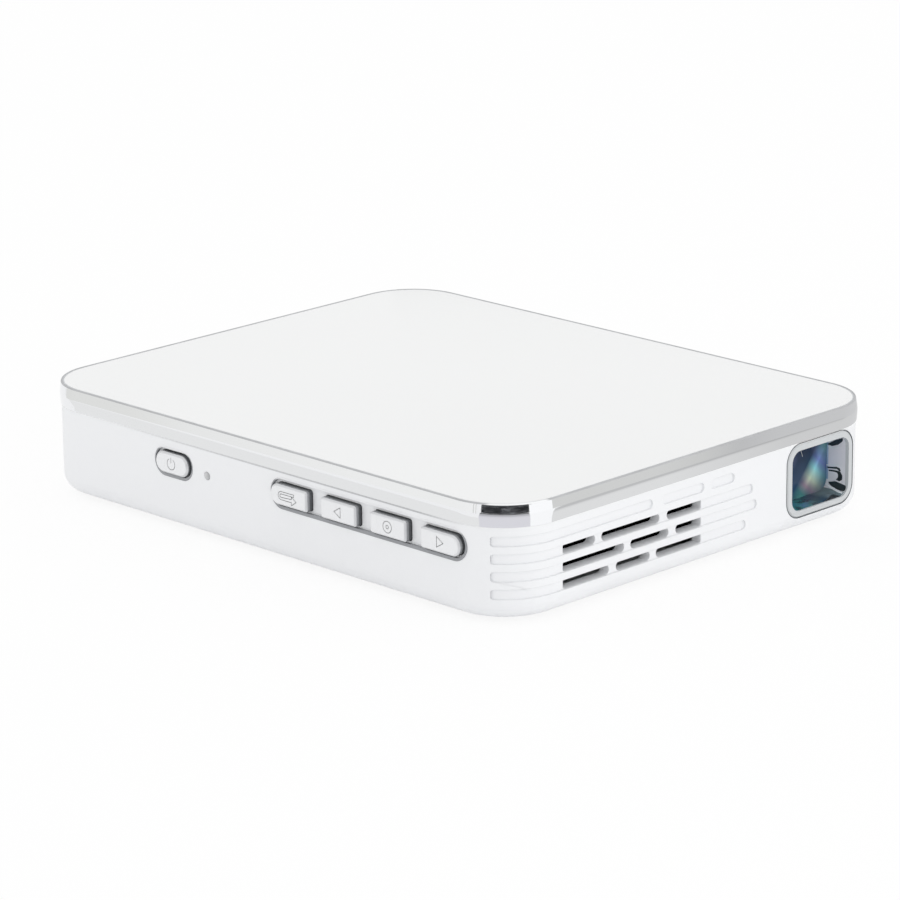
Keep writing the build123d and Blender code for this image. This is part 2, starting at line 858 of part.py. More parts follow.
def dome_lens(y_flat, radius, thickness, bulge, facing):
    """Lens with one flat face and one domed face; facing is -1 for a dome towards -Y."""
    sphere_radius = (radius * radius + bulge * bulge) / (2 * bulge)
    base = thickness - bulge
    y0, y1 = sorted((y_flat, y_flat + facing * base))
    lens = extrude(along_lens(y0) * Circle(radius), y1 - y0)
    edge = y_flat + facing * base
    far = edge + facing * (bulge + 1.0)
    y0, y1 = sorted((edge, far))
    cap = extrude(along_lens(y0) * Circle(radius), y1 - y0)
    cap &= Pos(lens_x, edge - facing * (sphere_radius - bulge), lens_z) * Sphere(sphere_radius)
    return lens + cap


def front_lens():
    """Large front lens, domed towards the screen."""
    y_flat = barrel_y0 + glass_thickness + glass_bulge + glass_recess
    return dome_lens(y_flat, glass_radius, glass_thickness + glass_bulge, glass_bulge, -1)


def rear_lens():
    """Small rear lens that faces the light engine."""
    radius = barrel_bore + rear_seat_step - glass_clearance
    return dome_lens(barrel_y1 - rear_seat_depth, radius, rear_glass_thickness, rear_glass_bulge, 1)


def lens_ring():
    """Retaining ring that holds the rear lens in the barrel."""
    outer = barrel_bore + rear_seat_step - glass_clearance
    return tube(barrel_y1 - ring_thickness, barrel_y1, outer, outer - ring_width)


def wheel_foot():
    """Foot of the lens mount that stands under the focus wheel and holds its axle."""
    z0 = floor_z + 0.3
    foot = block(lens_x + 3.0, wheel_x + 2.4, wheel_y - 3.0, wheel_y + 3.0, z0, z0 + 1.5)
    return foot


def lens_mount():
    """Guide tube with a flange on the light engine, cut away beside the focus wheel."""
    y0 = barrel_y0 + focus_travel
    mount = extrude(along_lens(y0) * Circle(mount_radius), engine_y0 - y0)
    flange = RectangleRounded(2 * (mount_radius + mount_flange_reach), 2 * mount_radius - 1.0, 2.0)
    mount += extrude(along_lens(engine_y0 - mount_flange) * flange, mount_flange)
    mount += wheel_foot()
    mount -= extrude(along_lens(y0) * Circle(barrel_radius + slide_clearance), engine_y0 - y0)
    reach = wheel_radius + free_gap
    mount -= post(wheel_x, wheel_y, wheel_z0 - free_gap, wheel_z0 + wheel_thickness + free_gap, reach)
    arm_z0 = wheel_z0 + wheel_thickness + free_gap
    room = arm_width / 2 + focus_travel + free_gap
    mount -= block(lens_x + 2.0, half_x, wheel_y - room, wheel_y + room, arm_z0 - free_gap, lens_z + mount_radius)
    mount -= post(wheel_x, wheel_y, floor_z, floor_z + 3.0, axle_radius)
    return mount


def focus_axle():
    """Fixed axle with a shoulder under the wheel."""
    top = wheel_z0 + wheel_thickness + clip_gap + clip_thickness + 0.1
    axle = post(wheel_x, wheel_y, floor_z + 0.3, top, axle_radius)
    axle += post(wheel_x, wheel_y, floor_z + 1.8, wheel_z0 - 0.1, axle_shoulder)
    return axle


def focus_clip():
    """Clip on top of the axle that keeps the wheel on."""
    z0 = wheel_z0 + wheel_thickness + clip_gap
    z1 = z0 + clip_thickness
    half = clip_opening / 2
    clip = post(wheel_x, wheel_y, z0, z1, clip_radius)
    clip -= post(wheel_x, wheel_y, z0, z1, axle_radius)
    clip -= block(wheel_x, wheel_x + 2 * clip_radius, wheel_y - half, wheel_y + half, z0, z1)
    return clip


def focus_wheel():
    """Ridged thumb wheel with an off-centre pin that drives the barrel."""
    step = 360.0 / wheel_ridges
    outer = wheel_radius
    inner = wheel_radius - wheel_ridge_depth
    points = []
    for index in range(wheel_ridges):
        for share, radius in ((0.0, outer), (0.35, outer), (0.5, inner), (0.85, inner)):
            angle = radians((index + share) * step)
            points.append((radius * cos(angle), radius * sin(angle)))
    rim = Pos(wheel_x, wheel_y, wheel_z0) * make_face(Polyline(*points, close=True))
    wheel = extrude(rim, wheel_thickness)
    dish = wheel_radius - wheel_rim
    for z0 in (wheel_z0, wheel_z0 + wheel_thickness - wheel_dish):
        ring = post(wheel_x, wheel_y, z0, z0 + wheel_dish, dish)
        wheel -= ring - post(wheel_x, wheel_y, z0, z0 + wheel_dish, wheel_hub)
    pin_top = wheel_z0 + wheel_thickness + arm_gap + arm_thickness + 0.2
    pin_x = wheel_x - crank_radius
    wheel += post(pin_x, wheel_y, wheel_z0 + wheel_thickness - wheel_dish, pin_top, crank_pin_radius)
    wheel -= post(wheel_x, wheel_y, wheel_z0, wheel_z0 + wheel_thickness, axle_radius + running_clearance)
    return wheel


# Light engine ----------------------------------------------------------------------------

def light_engine():
    """Cast box for the mirrors and prisms, with ribs, corner posts and the lens opening."""
    body = block(engine_x0, engine_x1, engine_y0, engine_y1, engine_z0, engine_z1)
    body -= block(engine_x0, engine_x0 + engine_corner, engine_y1 - engine_corner, engine_y1,
                  engine_z0, engine_z1)
    body = fillet(body.edges().filter_by(Axis.Z), 1.0)
    body -= block(engine_x0 + engine_wall, engine_x1 - engine_wall, engine_y0 + engine_wall,
                  engine_y1 - engine_rear_wall, engine_z0 + engine_wall, engine_z1)
    body -= extrude(along_lens(engine_y0) * Circle(barrel_bore), engine_wall)
    for index in range(1, 5):
        y = engine_y0 + index * engine_rib_pitch
        body += block(engine_x1, engine_x1 + engine_rib_depth, y, y + engine_rib_thickness,
                      engine_z0 + 1.0, engine_z1 - 1.0)
    inset = engine_wall / 2
    for x in (engine_x0 + inset, engine_x1 - inset):
        for y in (engine_y0 + inset, engine_y1 - engine_corner - inset):
            body += post(x, y, engine_z0, engine_z1, engine_post_radius)
    return body


def engine_cover():
    """Flat lid of the light engine with a raised field."""
    z1 = engine_z1 + engine_lid_thickness
    lid = block(engine_x0, engine_x1, engine_y0, engine_y1 - engine_corner - 0.1, engine_z1, z1)
    lid = fillet(lid.edges().filter_by(Axis.Z), 1.0)
    margin = 2 * engine_wall
    lid += block(engine_x0 + margin, engine_x1 - margin, engine_y0 + margin,
                 engine_y1 - engine_corner - margin, z1, z1 + engine_lid_field)
    return lid


def lamp_module(y):
    """Lamp board on the side of the light engine, with two screw holes."""
    half = lamp_size / 2
    board = block(spreader_x1, engine_x0, y - half, y + half, lamp_z - half, lamp_z + half)
    board = fillet(board.edges().filter_by(Axis.X), 1.0)
    reach = half - lamp_hole_inset
    for sign in (-1, 1):
        hole = Pos(spreader_x1, y + sign * reach, lamp_z + sign * reach) * Rot(0, 90, 0)
        board -= hole * Cylinder(lamp_hole_radius, 4 * lamp_board)
    return board


lamp_z = (engine_z0 + engine_z1) / 2
blue_lamp_y = engine_y0 + lamp_gap + lamp_size / 2
red_lamp_y = blue_lamp_y + lamp_size + lamp_gap


def heat_spreader():
    """Angle plate behind the lamps; its upper leg carries the heat pipe."""
    y0 = engine_y0 + 0.2
    y1 = red_lamp_y + lamp_size / 2
    plate = block(spreader_x1 - spreader_thickness, spreader_x1, y0, y1, engine_z0 + 0.4, pipe_z0)
    foot_x0 = spreader_x1 - spreader_thickness - pipe_width - 0.4
    return plate + block(foot_x0, spreader_x1, y0, y1, pipe_z0 - spreader_foot, pipe_z0)


def heat_pipe():
    """Flattened pipe from the lamp spreader round the blower to the fins."""
    z = pipe_z0 + pipe_height / 2
    x = spreader_x1 - spreader_thickness - pipe_width / 2 - 0.2
    y_fins = (fins_y0 + fins_y1) / 2
    start = (x, red_lamp_y + lamp_size / 2 - 0.5, z)
    turn = (x, y_fins, z)
    end = (fan_x - fan_width / 2 + 1.0, y_fins, z)
    path = FilletPolyline(start, turn, end, radius=pipe_bend)
    plane = Plane(origin=start, x_dir=(1, 0, 0), z_dir=(0, -1, 0))
    section = plane * RectangleRounded(pipe_width, pipe_height, pipe_height / 2 - 0.1)
    return sweep(section, path=path)


def fin_stack():
    """Row of upright fins under one plate, in front of the blower outlet."""
    x0 = fan_x - fan_width / 2 + 1.0
    x1 = fan_x + fan_width / 2 - 1.0
    y0, y1 = fins_y0, fins_y1
    z1 = pipe_z0
    stack = block(x0, x1, y0, y1, z1 - fin_base, z1)
    pitch = (x1 - x0 - fin_thickness) / (fin_count - 1)
    for index in range(fin_count):
        x = x0 + index * pitch
        stack += block(x, x + fin_thickness, y0, y1, z1 - fin_base - fin_height, z1 - fin_base)
    return stack


chip_board_x0 = engine_x1 + chip_board_gap
chip_board_x1 = chip_board_x0 + chip_board_thickness


def chip_board():
    """Small board with the imaging chip and its connector, on the far side of the engine."""
    y0 = engine_y0 + chip_board_margin
    y1 = engine_y1 - 2 * chip_board_margin
    board = block(chip_board_x0, chip_board_x1, y0, y1, engine_z0 + 0.4, engine_z1)
    board += block(chip_board_x1, chip_board_x1 + 0.5, y0 + 1.0, y0 + 1.0 + chip_connector,
                   engine_z0 + chip_board_margin, engine_z0 + 2.5 * chip_connector)
    return board


def chip_cooler():
    """Finned plate on the back of the imaging chip."""
    y0 = engine_y0 + chip_board_margin + chip_connector + 2.0
    y1 = y0 + cooler_length
    z0 = (engine_z0 + engine_z1 - cooler_height) / 2
    z1 = z0 + cooler_height
    x0 = chip_board_x1
    cooler = block(x0, x0 + cooler_base, y0, y1, z0, z1)
    pitch = (cooler_length - cooler_fin) / (cooler_fin_count - 1)
    for index in range(cooler_fin_count):
        y = y0 + index * pitch
        cooler += block(x0 + cooler_base, x0 + cooler_depth, y, y + cooler_fin, z0, z1)
    return cooler


# Blower ----------------------------------------------------------------------------------

def fan_outline():
    """Outline of the blower from above."""
    return Pos(fan_x, fan_y) * RectangleRounded(fan_width, fan_depth, fan_corner)


def fan_housing():
    """Blower case: base with an intake ring, scroll wall and an outlet towards the vents."""
    case = extrude(Plane.XY.offset(fan_z0) * fan_outline(), fan_height)
    room = rotor_radius + rotor_gap
    scroll_z = fan_z0 + fan_wall
    case -= post(fan_x, fan_y, scroll_z, fan_z0 + fan_height, room)
    half = fan_width / 2 - fan_wall
    case -= block(fan_x - half, fan_x + half, fan_y - fan_depth, fan_y - rotor_hub, scroll_z,
                  fan_z0 + fan_height)
    case -= block(fan_x, fan_x + half, fan_y - rotor_hub - 1.0, fan_y, scroll_z, fan_z0 + fan_height)
    intake = post(fan_x, fan_y, fan_z0, scroll_z, rotor_hub + fan_intake_margin)
    intake -= post(fan_x, fan_y, fan_z0, scroll_z, rotor_hub)
    arm = block(0, room, -fan_arm / 2, fan_arm / 2, fan_z0, scroll_z)
    for angle in (30, 150, 270):
        intake -= Pos(fan_x, fan_y, 0) * Rot(0, 0, angle) * arm
    return case - intake


def fan_cover():
    """Lid of the blower with a round intake."""
    z0 = fan_z0 + fan_height
    cover = extrude(Plane.XY.offset(z0) * fan_outline(), fan_cover_thickness)
    return cover - post(fan_x, fan_y, z0, z0 + fan_cover_thickness, rotor_hub + fan_intake_margin)


def rotor_blade():
    """One curved blade in its place on the near side of the hub."""
    r0 = rotor_hub - 0.3
    r1 = rotor_radius
    middle = (r0 + r1) / 2
    sweep = rotor_blade_sweep
    bow = 0.35 * sweep
    thick = rotor_blade_thickness
    front = ThreePointArc((r0, 0), (middle, bow), (r1, sweep))
    back = ThreePointArc((r1, sweep + thick), (middle, bow + thick), (r0, thick))
    edges = [front, Line((r1, sweep), (r1, sweep + thick)), back, Line((r0, thick), (r0, 0))]
    z0 = rotor_z0 + rotor_disc
    return extrude(Plane.XY.offset(z0) * make_face(edges), rotor_z1 - z0)


def fan_rotor():
    """Blower wheel: cupped hub, base disc and curved blades."""
    bore = rotor_hub - rotor_hub_wall
    hub = post(fan_x, fan_y, rotor_z0 + rotor_disc / 2, rotor_z1, rotor_hub)
    hub -= post(fan_x, fan_y, rotor_z0, rotor_z1 - rotor_hub_wall, bore)
    disc = post(fan_x, fan_y, rotor_z0, rotor_z0 + rotor_disc, rotor_radius)
    rotor = hub + disc - post(fan_x, fan_y, rotor_z0, rotor_z0 + rotor_disc, bore)
    blade = rotor_blade()
    for index in range(rotor_blades):
        rotor += Pos(fan_x, fan_y, 0) * Rot(0, 0, index * 360.0 / rotor_blades) * blade
    return rotor


def fan_shaft():
    """Steel shaft fixed in the hub."""
    return post(fan_x, fan_y, fan_z0 + fan_wall + free_gap, rotor_z1 - rotor_hub_wall, shaft_radius)


def fan_bearing():
    """Bearing sleeve that stands on the blower base."""
    z0 = fan_z0 + fan_wall
    z1 = rotor_z1 - rotor_hub_wall - coil_rotor_gap
    sleeve = post(fan_x, fan_y, z0, z1, shaft_radius + running_clearance + bearing_wall)
    return sleeve - post(fan_x, fan_y, z0, z1, shaft_radius + running_clearance)


def fan_coil():
    """Motor coil on six poles round the bearing."""
    base_z = fan_z0 + fan_wall
    z1 = rotor_z1 - rotor_hub_wall - coil_rotor_gap
    inner = shaft_radius + running_clearance + bearing_wall
    outer = rotor_hub - rotor_hub_wall - coil_rotor_gap
    coil = post(fan_x, fan_y, base_z + 2.0, z1 - 1.0, outer)
    gap = block(inner + coil_gap, rotor_hub, -coil_gap / 2, coil_gap / 2, base_z, z1)
    for index in range(coil_poles):
        coil -= Pos(fan_x, fan_y, 0) * Rot(0, 0, index * 360.0 / coil_poles) * gap
    coil += post(fan_x, fan_y, base_z, z1, inner + 0.6)
    return coil - post(fan_x, fan_y, base_z, z1, inner)


# Main board, sockets, battery and speaker -------------------------------------------------

sockets = {
    "power_socket": (power_socket_x, power_socket_width, power_socket_height),
    "video_socket": (video_socket_x, video_socket_width, video_socket_height),
    "data_socket": (data_socket_x, data_socket_width, data_socket_height),
    "sound_socket": (sound_socket_x, sound_socket_width, sound_socket_height),
}
receiver_z = band_z - receiver_drop


def socket_z(name):
    """Middle height of a socket that hangs from the main board."""
    return main_board_z - sockets[name][2] / 2


def socket_openings():
    """Outlines of the rear openings: position, outline and height."""
    found = []
    for name, (x, width, height) in sockets.items():
        grow = 2 * socket_clearance
        corner = height / 2 if name == "power_socket" else 0.8
        found.append((x, RectangleRounded(width + grow, height + grow, corner), socket_z(name)))
    window = RectangleRounded(receiver_width, receiver_height, receiver_corner)
    found.append((receiver_x, window, receiver_z))
    return found


def socket_block(name, corner):
    """Body of one socket, round-cornered along its length."""
    x, width, height = sockets[name]
    outline = rear_side(x, socket_z(name), socket_front_y - side_y) * RectangleRounded(width, height, corner)
    return extrude(outline, -socket_depth)


def sound_socket():
    """Round socket for a sound plug."""
    name = "sound_socket"
    body = socket_block(name, 0.6)
    mouth = rear_side(sockets[name][0], socket_z(name), socket_front_y - side_y)
    return body - extrude(mouth * Circle(sound_bore), -(socket_depth - 1.5))


def power_socket():
    """Small oval metal shell with a thin contact tongue."""
    name = "power_socket"
    x, width, height = sockets[name]
    shell = socket_block(name, height / 2 - 0.05)
    mouth = rear_side(x, socket_z(name), socket_front_y - side_y)
    inner_height = height - 2 * socket_shell
    shell -= extrude(mouth * SlotOverall(width - 2 * socket_shell, inner_height), -(socket_depth - 1.0))
    return shell + extrude(mouth.offset(-0.6) * Rectangle(width - 2.6, 0.7), -(socket_depth - 1.1))


def video_socket():
    """Metal shell with a chamfered lower edge and a contact tongue."""
    name = "video_socket"
    x, width, height = sockets[name]
    mouth = rear_side(x, socket_z(name), socket_front_y - side_y)
    w, h = width / 2, height / 2
    cut = video_socket_cut
    outer = Polyline((-w, h), (w, h), (w, -h + cut), (w - cut, -h), (-w + cut, -h), (-w, -h + cut), close=True)
    shell = extrude(mouth * make_face(outer), -socket_depth)
    s = socket_shell
    inner = Polyline((-w + s, h - s), (w - s, h - s), (w - s, -h + cut), (w - cut - s / 2, -h + s),
                     (-w + cut + s / 2, -h + s), (-w + s, -h + cut), close=True)
    shell -= extrude(mouth * make_face(inner), -(socket_depth - 1.0))
    tongue = mouth.offset(-1.0) * Pos(0, 0.2) * Rectangle(width - 4.4, 0.9)
    return shell + extrude(tongue, -(socket_depth - 1.5))


def data_socket():
    """Metal shell with four contact springs' slots and a plain tongue."""
    name = "data_socket"
    x, width, height = sockets[name]
    mouth = rear_side(x, socket_z(name), socket_front_y - side_y)
    shell = extrude(mouth * RectangleRounded(width, height, 0.6), -socket_depth)
    inner = RectangleRounded(width - 2 * socket_shell, height - 2 * socket_shell, 0.4)
    shell -= extrude(mouth * inner, -(socket_depth - 1.0))
    tongue = mouth.offset(-0.8) * Pos(0, 1.0) * Rectangle(width - 3.2, 1.8)
    return shell + extrude(tongue, -(socket_depth - 1.3))


def board_outline():
    """Main board seen from above, with its rear corners cut away round the screw posts."""
    z0 = main_board_z
    board = block(board_left, board_right, board_front, board_rear, z0, board_top_z)
    reach = boss_radius + free_gap
    for x, y in case_screw_places:
        board -= post(x, y, z0, board_top_z, reach)
        if y > 0:
            side = 1 if x > 0 else -1
            x0, x1 = sorted((x, side * half_x))
            board -= block(x0, x1, y - reach, half_y, z0, board_top_z)
            x0, x1 = sorted((x - side * reach, x))
            board -= block(x0, x1, y, half_y, z0, board_top_z)
    return board


# Chips, coils and connectors on the main board, as (from left, from front, width, depth, height).
front_chips = (
    (11.0, 13.0, 12.0, 12.0, 1.2),
    (27.0, 11.0, 9.0, 9.0, 1.0),
    (47.0, 9.0, 6.0, 6.0, 2.6),
    (55.0, 9.0, 6.0, 6.0, 2.6),
    (5.0, 25.0, 3.0, 9.0, 1.4),
)
# The same for the ones near the far rear corner, as (from right, from rear, width, depth, height).
rear_chips = (
    (14.0, 27.0, 14.0, 3.0, 1.6),
    (12.0, 37.0, 10.0, 10.0, 1.2),
)
capacitor_radius = 2.2
capacitor_height = 3.4
capacitor_pitch = 6.0


def main_board():
    """Main board with its larger chips, coils and connectors."""
    board = board_outline()
    top = board_top_z
    chips = [(board_left + x, board_front + y, dx, dy, dz) for x, y, dx, dy, dz in front_chips]
    chips += [(board_right - x, board_rear - y, dx, dy, dz) for x, y, dx, dy, dz in rear_chips]
    for x, y, dx, dy, dz in chips:
        board += block(x - dx / 2, x + dx / 2, y - dy / 2, y + dy / 2, top, top + dz)
    for index in range(3):
        x = board_left + 35.0 + index * capacitor_pitch
        board += post(x, board_rear - 7.0, top, top + capacitor_height, capacitor_radius)
    for x, y in standoff_places:
        board -= post(x, y, main_board_z, top, screw_radius + screw_clearance)
    return board


def board_screws():
    """Screws that hold the main board, one solid each."""
    end = main_board_z - screw_depth
    return Compound([screw(x, y, board_top_z, end, pointing_up=False) for x, y in standoff_places])


def case_screws():
    """Screws that hold housing, band and panel together, one solid each."""
    return Compound([screw(x, y, head_seat_z, screw_end_z) for x, y in case_screw_places])


def shield_can():
    """Folded metal can with vent holes over the radio part of the board."""
    x0 = board_left + 21.0
    x1 = x0 + can_width
    y1 = board_rear - 14.0
    y0 = y1 - can_depth
    top = board_top_z
    can = block(x0, x1, y0, y1, top, top + can_height)
    can = chamfer(can.faces().sort_by(Axis.Z)[-1].edges(), can_wall)
    can -= block(x0 + can_wall, x1 - can_wall, y0 + can_wall, y1 - can_wall, top,
                 top + can_height - can_wall)
    for column in (-1.5, -0.5, 0.5, 1.5):
        for row in (-1, 0, 1):
            x = (x0 + x1) / 2 + column * can_hole_pitch
            y = (y0 + y1) / 2 + row * can_hole_pitch
            can -= post(x, y, top + can_height / 2, top + can_height, can_hole_radius)
    return can


def battery_pack():
    """Pouch battery with soft edges and its small safety board."""
    pouch = block(battery_x0, battery_x1, battery_y0, battery_y1, battery_z0, battery_z1)
    pouch = fillet(pouch.edges().filter_by(Axis.Y), battery_edge)
    pouch = fillet(pouch.faces().sort_by(Axis.Y)[-1].edges(), 0.6)
    return pouch + block(battery_x0 + 6.0, battery_x1 - 6.0, battery_y0 - battery_strip, battery_y0,
                         battery_z0 + 1.0, battery_z0 + 4.0)


def battery_tray():
    """Shallow tray stuck to the floor that locates the battery."""
    reach = battery_gap + tray_wall
    x0, x1 = battery_x0 - reach, battery_x1 + reach
    y0, y1 = battery_y0 - battery_strip - reach, battery_y1 + reach
    z1 = floor_z + tray_height
    inner_z = floor_z + tray_wall
    tray = block(x0, x1, y0, y1, floor_z, z1)
    tray -= block(x0 + tray_wall, x1 - tray_wall, y0 + tray_wall, y1 - tray_wall, inner_z, z1)
    return tray - block(x0 + tray_notch, x1 - tray_notch, y0, y1, inner_z, z1)


def speaker():
    """Oval speaker behind the side slots: basket, cone and magnet."""
    middle_y = (speaker_y0 + speaker_y1) / 2
    plane = Plane(origin=(speaker_x1, middle_y, speaker_z), x_dir=(0, 1, 0), z_dir=(1, 0, 0))
    body = extrude(plane * RectangleRounded(speaker_length, speaker_height, 2.0), -speaker_depth)
    mouth = SlotOverall(speaker_length - 3.0, speaker_height - 1.6)
    throat = SlotOverall(speaker_length - 14.0, 2.4)
    body -= loft([plane * mouth, plane.offset(-1.8) * throat])
    reach = speaker_height / 2 - 1.0
    return body + block(speaker_x0 - magnet_depth, speaker_x0, speaker_y0 + magnet_inset,
                        speaker_y1 - magnet_inset, speaker_z - reach, speaker_z + reach)


def speaker_box():
    """Closed box of air behind the speaker, as wide as the room beside the middle standoff."""
    x0 = standoff_mid_x + standoff_radius + 0.6
    x1 = speaker_x0 - magnet_depth - 0.1
    z0 = floor_z + speaker_lift
    box = block(x0, x1, speaker_y0, speaker_y1, z0, z0 + speaker_height)
    return fillet(box.edges().filter_by(Axis.Z), 1.5)


def wifi_antenna():
    """Thin antenna board stuck inside the far wall above the main board's edge."""
    z0 = board_top_z + 0.4
    y0 = board_front + 11.0
    x1 = inner_x - antenna_gap
    return block(x1 - antenna_thickness, x1, y0, y0 + antenna_length, z0, z0 + antenna_height)


def receiver_window():
    """Dark window of the remote control receiver in the rear wall."""
    plane = rear_side(receiver_x, receiver_z)
    width = receiver_width - 2 * light_gap
    height = receiver_height - 2 * light_gap
    lens = extrude(plane * RectangleRounded(width, height, receiver_corner - light_gap), -wall)
    flange = RectangleRounded(receiver_width + 2 * receiver_flange, receiver_height + 1.2, 1.6)
    return lens + extrude(plane.offset(-wall) * flange, -receiver_flange)


# Keys, switches and status light ----------------------------------------------------------

def row_key(index):
    """One key of the row of four."""
    flange = key_outline(index, key_flange)
    return key_solid(key_outline(index), flange, key_centre(index), key_row_z, key_proud, key_bevel)


def power_button():
    """Power button with full round ends."""
    flange = stadium(power_width, power_height, key_flange)
    outline = stadium(power_width, power_height)
    return key_solid(outline, flange, power_y, power_z, power_proud, key_bevel)


def key_surround():
    """Trim ring of the row of keys."""
    return key_trim(key_row_length, key_pocket_height, key_pocket_y, key_row_z, key_floor_depth)


def power_surround():
    """Trim ring of the power button."""
    width = power_width + 2 * power_margin
    height = power_height + 2 * power_margin
    return key_trim(width, height, power_y, power_z, key_floor_depth)


def key_board():
    """Upright board behind the keys."""
    x0 = key_board_x
    z0 = floor_z + key_board_lift
    return block(x0, x0 + board_thickness, key_board_front, key_board_rear, z0, z0 + key_board_height)


def key_switches():
    """Push switches on the key board, one solid each."""
    places = [(key_centre(index), key_row_z) for index in range(len(key_names))]
    places.append((power_y, power_z))
    solids = []
    half = switch_size / 2
    x1 = key_board_x
    x0 = x1 - switch_height
    for y, z in places:
        middle = min(z, floor_z + key_board_lift + key_board_height - half)
        body = block(x0, x1, y - half, y + half, middle - half, middle + half)
        plane = Plane(origin=(x0, y, middle), x_dir=(0, 1, 0), z_dir=(-1, 0, 0))
        solids.append(body + extrude(plane * Circle(switch_plunger_radius), switch_plunger))
    return Compound(solids)


def status_light():
    """Clear light guide from the key board to the wall."""
    plane = near_side(light_y, light_z)
    guide = extrude(plane * Circle(light_radius), -(wall + light_collar))
    collar = plane.offset(-(wall + light_gap)) * Circle(light_radius + light_collar)
    return guide + extrude(collar, -(key_board_x + inner_x - 2 * light_gap))


# Feet and tripod insert -------------------------------------------------------------------

def rubber_feet():
    """Four rubber feet, one solid each."""
    feet = []
    for x, y in foot_places:
        foot = post(x, y, 0, foot_proud + foot_recess, foot_radius)
        feet.append(chamfer(foot.faces().sort_by(Axis.Z)[0].edges(), foot_chamfer))
    return Compound(feet)


def tripod_insert():
    """Threaded brass insert for a tripod screw."""
    insert = post(0, tripod_y, foot_proud + tripod_lead, foot_proud + tripod_depth, tripod_outer)
    return insert - post(0, tripod_y, foot_proud, foot_proud + tripod_depth, tripod_radius)


# Write every node -------------------------------------------------------------------------

nodes = {
    "bottom_housing": bottom_housing,
    "chrome_band": chrome_band,
    "top_panel": top_panel,
    "lens_bezel": lens_bezel,
    "lens_hood": lens_hood,
    "lens_barrel": lens_barrel,
    "front_lens": front_lens,
    "rear_lens": rear_lens,
    "lens_ring": lens_ring,
    "lens_mount": lens_mount,
    "focus_wheel": focus_wheel,
    "focus_axle": focus_axle,
    "focus_clip": focus_clip,
    "light_engine": light_engine,
    "engine_cover": engine_cover,
    "blue_lamp": lambda: lamp_module(blue_lamp_y),
    "red_green_lamp": lambda: lamp_module(red_lamp_y),
    "heat_spreader": heat_spreader,
    "heat_pipe": heat_pipe,
    "fin_stack": fin_stack,
    "chip_board": chip_board,
    "chip_cooler": chip_cooler,
    "fan_housing": fan_housing,
    "fan_cover": fan_cover,
    "fan_rotor": fan_rotor,
    "fan_shaft": fan_shaft,
    "fan_bearing": fan_bearing,
    "fan_coil": fan_coil,
    "main_board": main_board,
    "shield_can": shield_can,
    "power_socket": power_socket,
    "sound_socket": sound_socket,
    "video_socket": video_socket,
    "data_socket": data_socket,
    "receiver_window": receiver_window,
    "battery_pack": battery_pack,
    "battery_tray": battery_tray,
    "speaker": speaker,
    "speaker_box": speaker_box,
    "wifi_antenna": wifi_antenna,
    "key_surround": key_surround,
    "power_surround": power_surround,
    "power_button": power_button,
    "key_board": key_board,
    "key_switches": key_switches,
    "status_light": status_light,
    "rubber_feet": rubber_feet,
    "tripod_insert": tripod_insert,
    "case_screws": case_screws,
    "board_screws": board_screws,
}
for key_index, key_name in enumerate(key_names):
    nodes[key_name] = lambda index=key_index: row_key(index)

for node_name, build in nodes.items():
    save(build(), node_name)
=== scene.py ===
from math import cos, pi, radians, sin, tau

import bmesh
import bpy
from bpy.props import FloatProperty, FloatVectorProperty, IntProperty, PointerProperty
from mathutils import Matrix, Vector


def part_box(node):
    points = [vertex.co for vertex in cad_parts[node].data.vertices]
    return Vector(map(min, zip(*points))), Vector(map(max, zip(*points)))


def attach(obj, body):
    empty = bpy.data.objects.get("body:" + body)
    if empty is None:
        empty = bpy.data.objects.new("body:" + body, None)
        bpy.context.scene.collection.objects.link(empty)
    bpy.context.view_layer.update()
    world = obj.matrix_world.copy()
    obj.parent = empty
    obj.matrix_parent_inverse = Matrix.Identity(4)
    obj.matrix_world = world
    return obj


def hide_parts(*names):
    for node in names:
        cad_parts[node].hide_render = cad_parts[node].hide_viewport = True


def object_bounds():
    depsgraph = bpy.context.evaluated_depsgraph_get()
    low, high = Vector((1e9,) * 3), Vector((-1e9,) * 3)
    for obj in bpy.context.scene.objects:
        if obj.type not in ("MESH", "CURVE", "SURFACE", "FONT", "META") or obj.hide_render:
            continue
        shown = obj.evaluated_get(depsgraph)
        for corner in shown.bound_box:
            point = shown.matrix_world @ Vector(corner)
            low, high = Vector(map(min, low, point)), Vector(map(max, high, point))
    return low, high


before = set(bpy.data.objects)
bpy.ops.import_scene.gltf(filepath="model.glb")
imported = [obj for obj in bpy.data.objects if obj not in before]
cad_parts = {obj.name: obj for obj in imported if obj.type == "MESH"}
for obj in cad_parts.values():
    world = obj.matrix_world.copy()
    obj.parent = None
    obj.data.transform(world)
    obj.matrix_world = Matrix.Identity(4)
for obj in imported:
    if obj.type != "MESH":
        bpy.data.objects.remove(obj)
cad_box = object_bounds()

bl_info = {
    "name": "Pocket projector looks",
    "version": (1, 0, 0),
    "blender": (4, 5, 0),
    "location": "View3D > Sidebar > Projector",
    "description": "Finishes, edge band, key marks, lens window details and studio of a pocket projector",
    "category": "Object",
}

MM = 0.001


def linear(code):
    """Turn an sRGB hex colour into linear red, green and blue."""
    shares = [int(code[i:i + 2], 16) / 255 for i in (1, 3, 5)]
    return tuple(s / 12.92 if s <= 0.04045 else ((s + 0.055) / 1.055) ** 2.4 for s in shares)


def rgba(colour, share=1.0):
    """Colour for a socket, darker or lighter by a share."""
    return (*(c * share for c in colour[:3]), 1.0)


def per_mm(size_mm):
    """Texture scale at which one cell is this many millimetres wide."""
    return 1 / (size_mm * MM)


# Sizes and colours that a user would change -------------------------------------------------


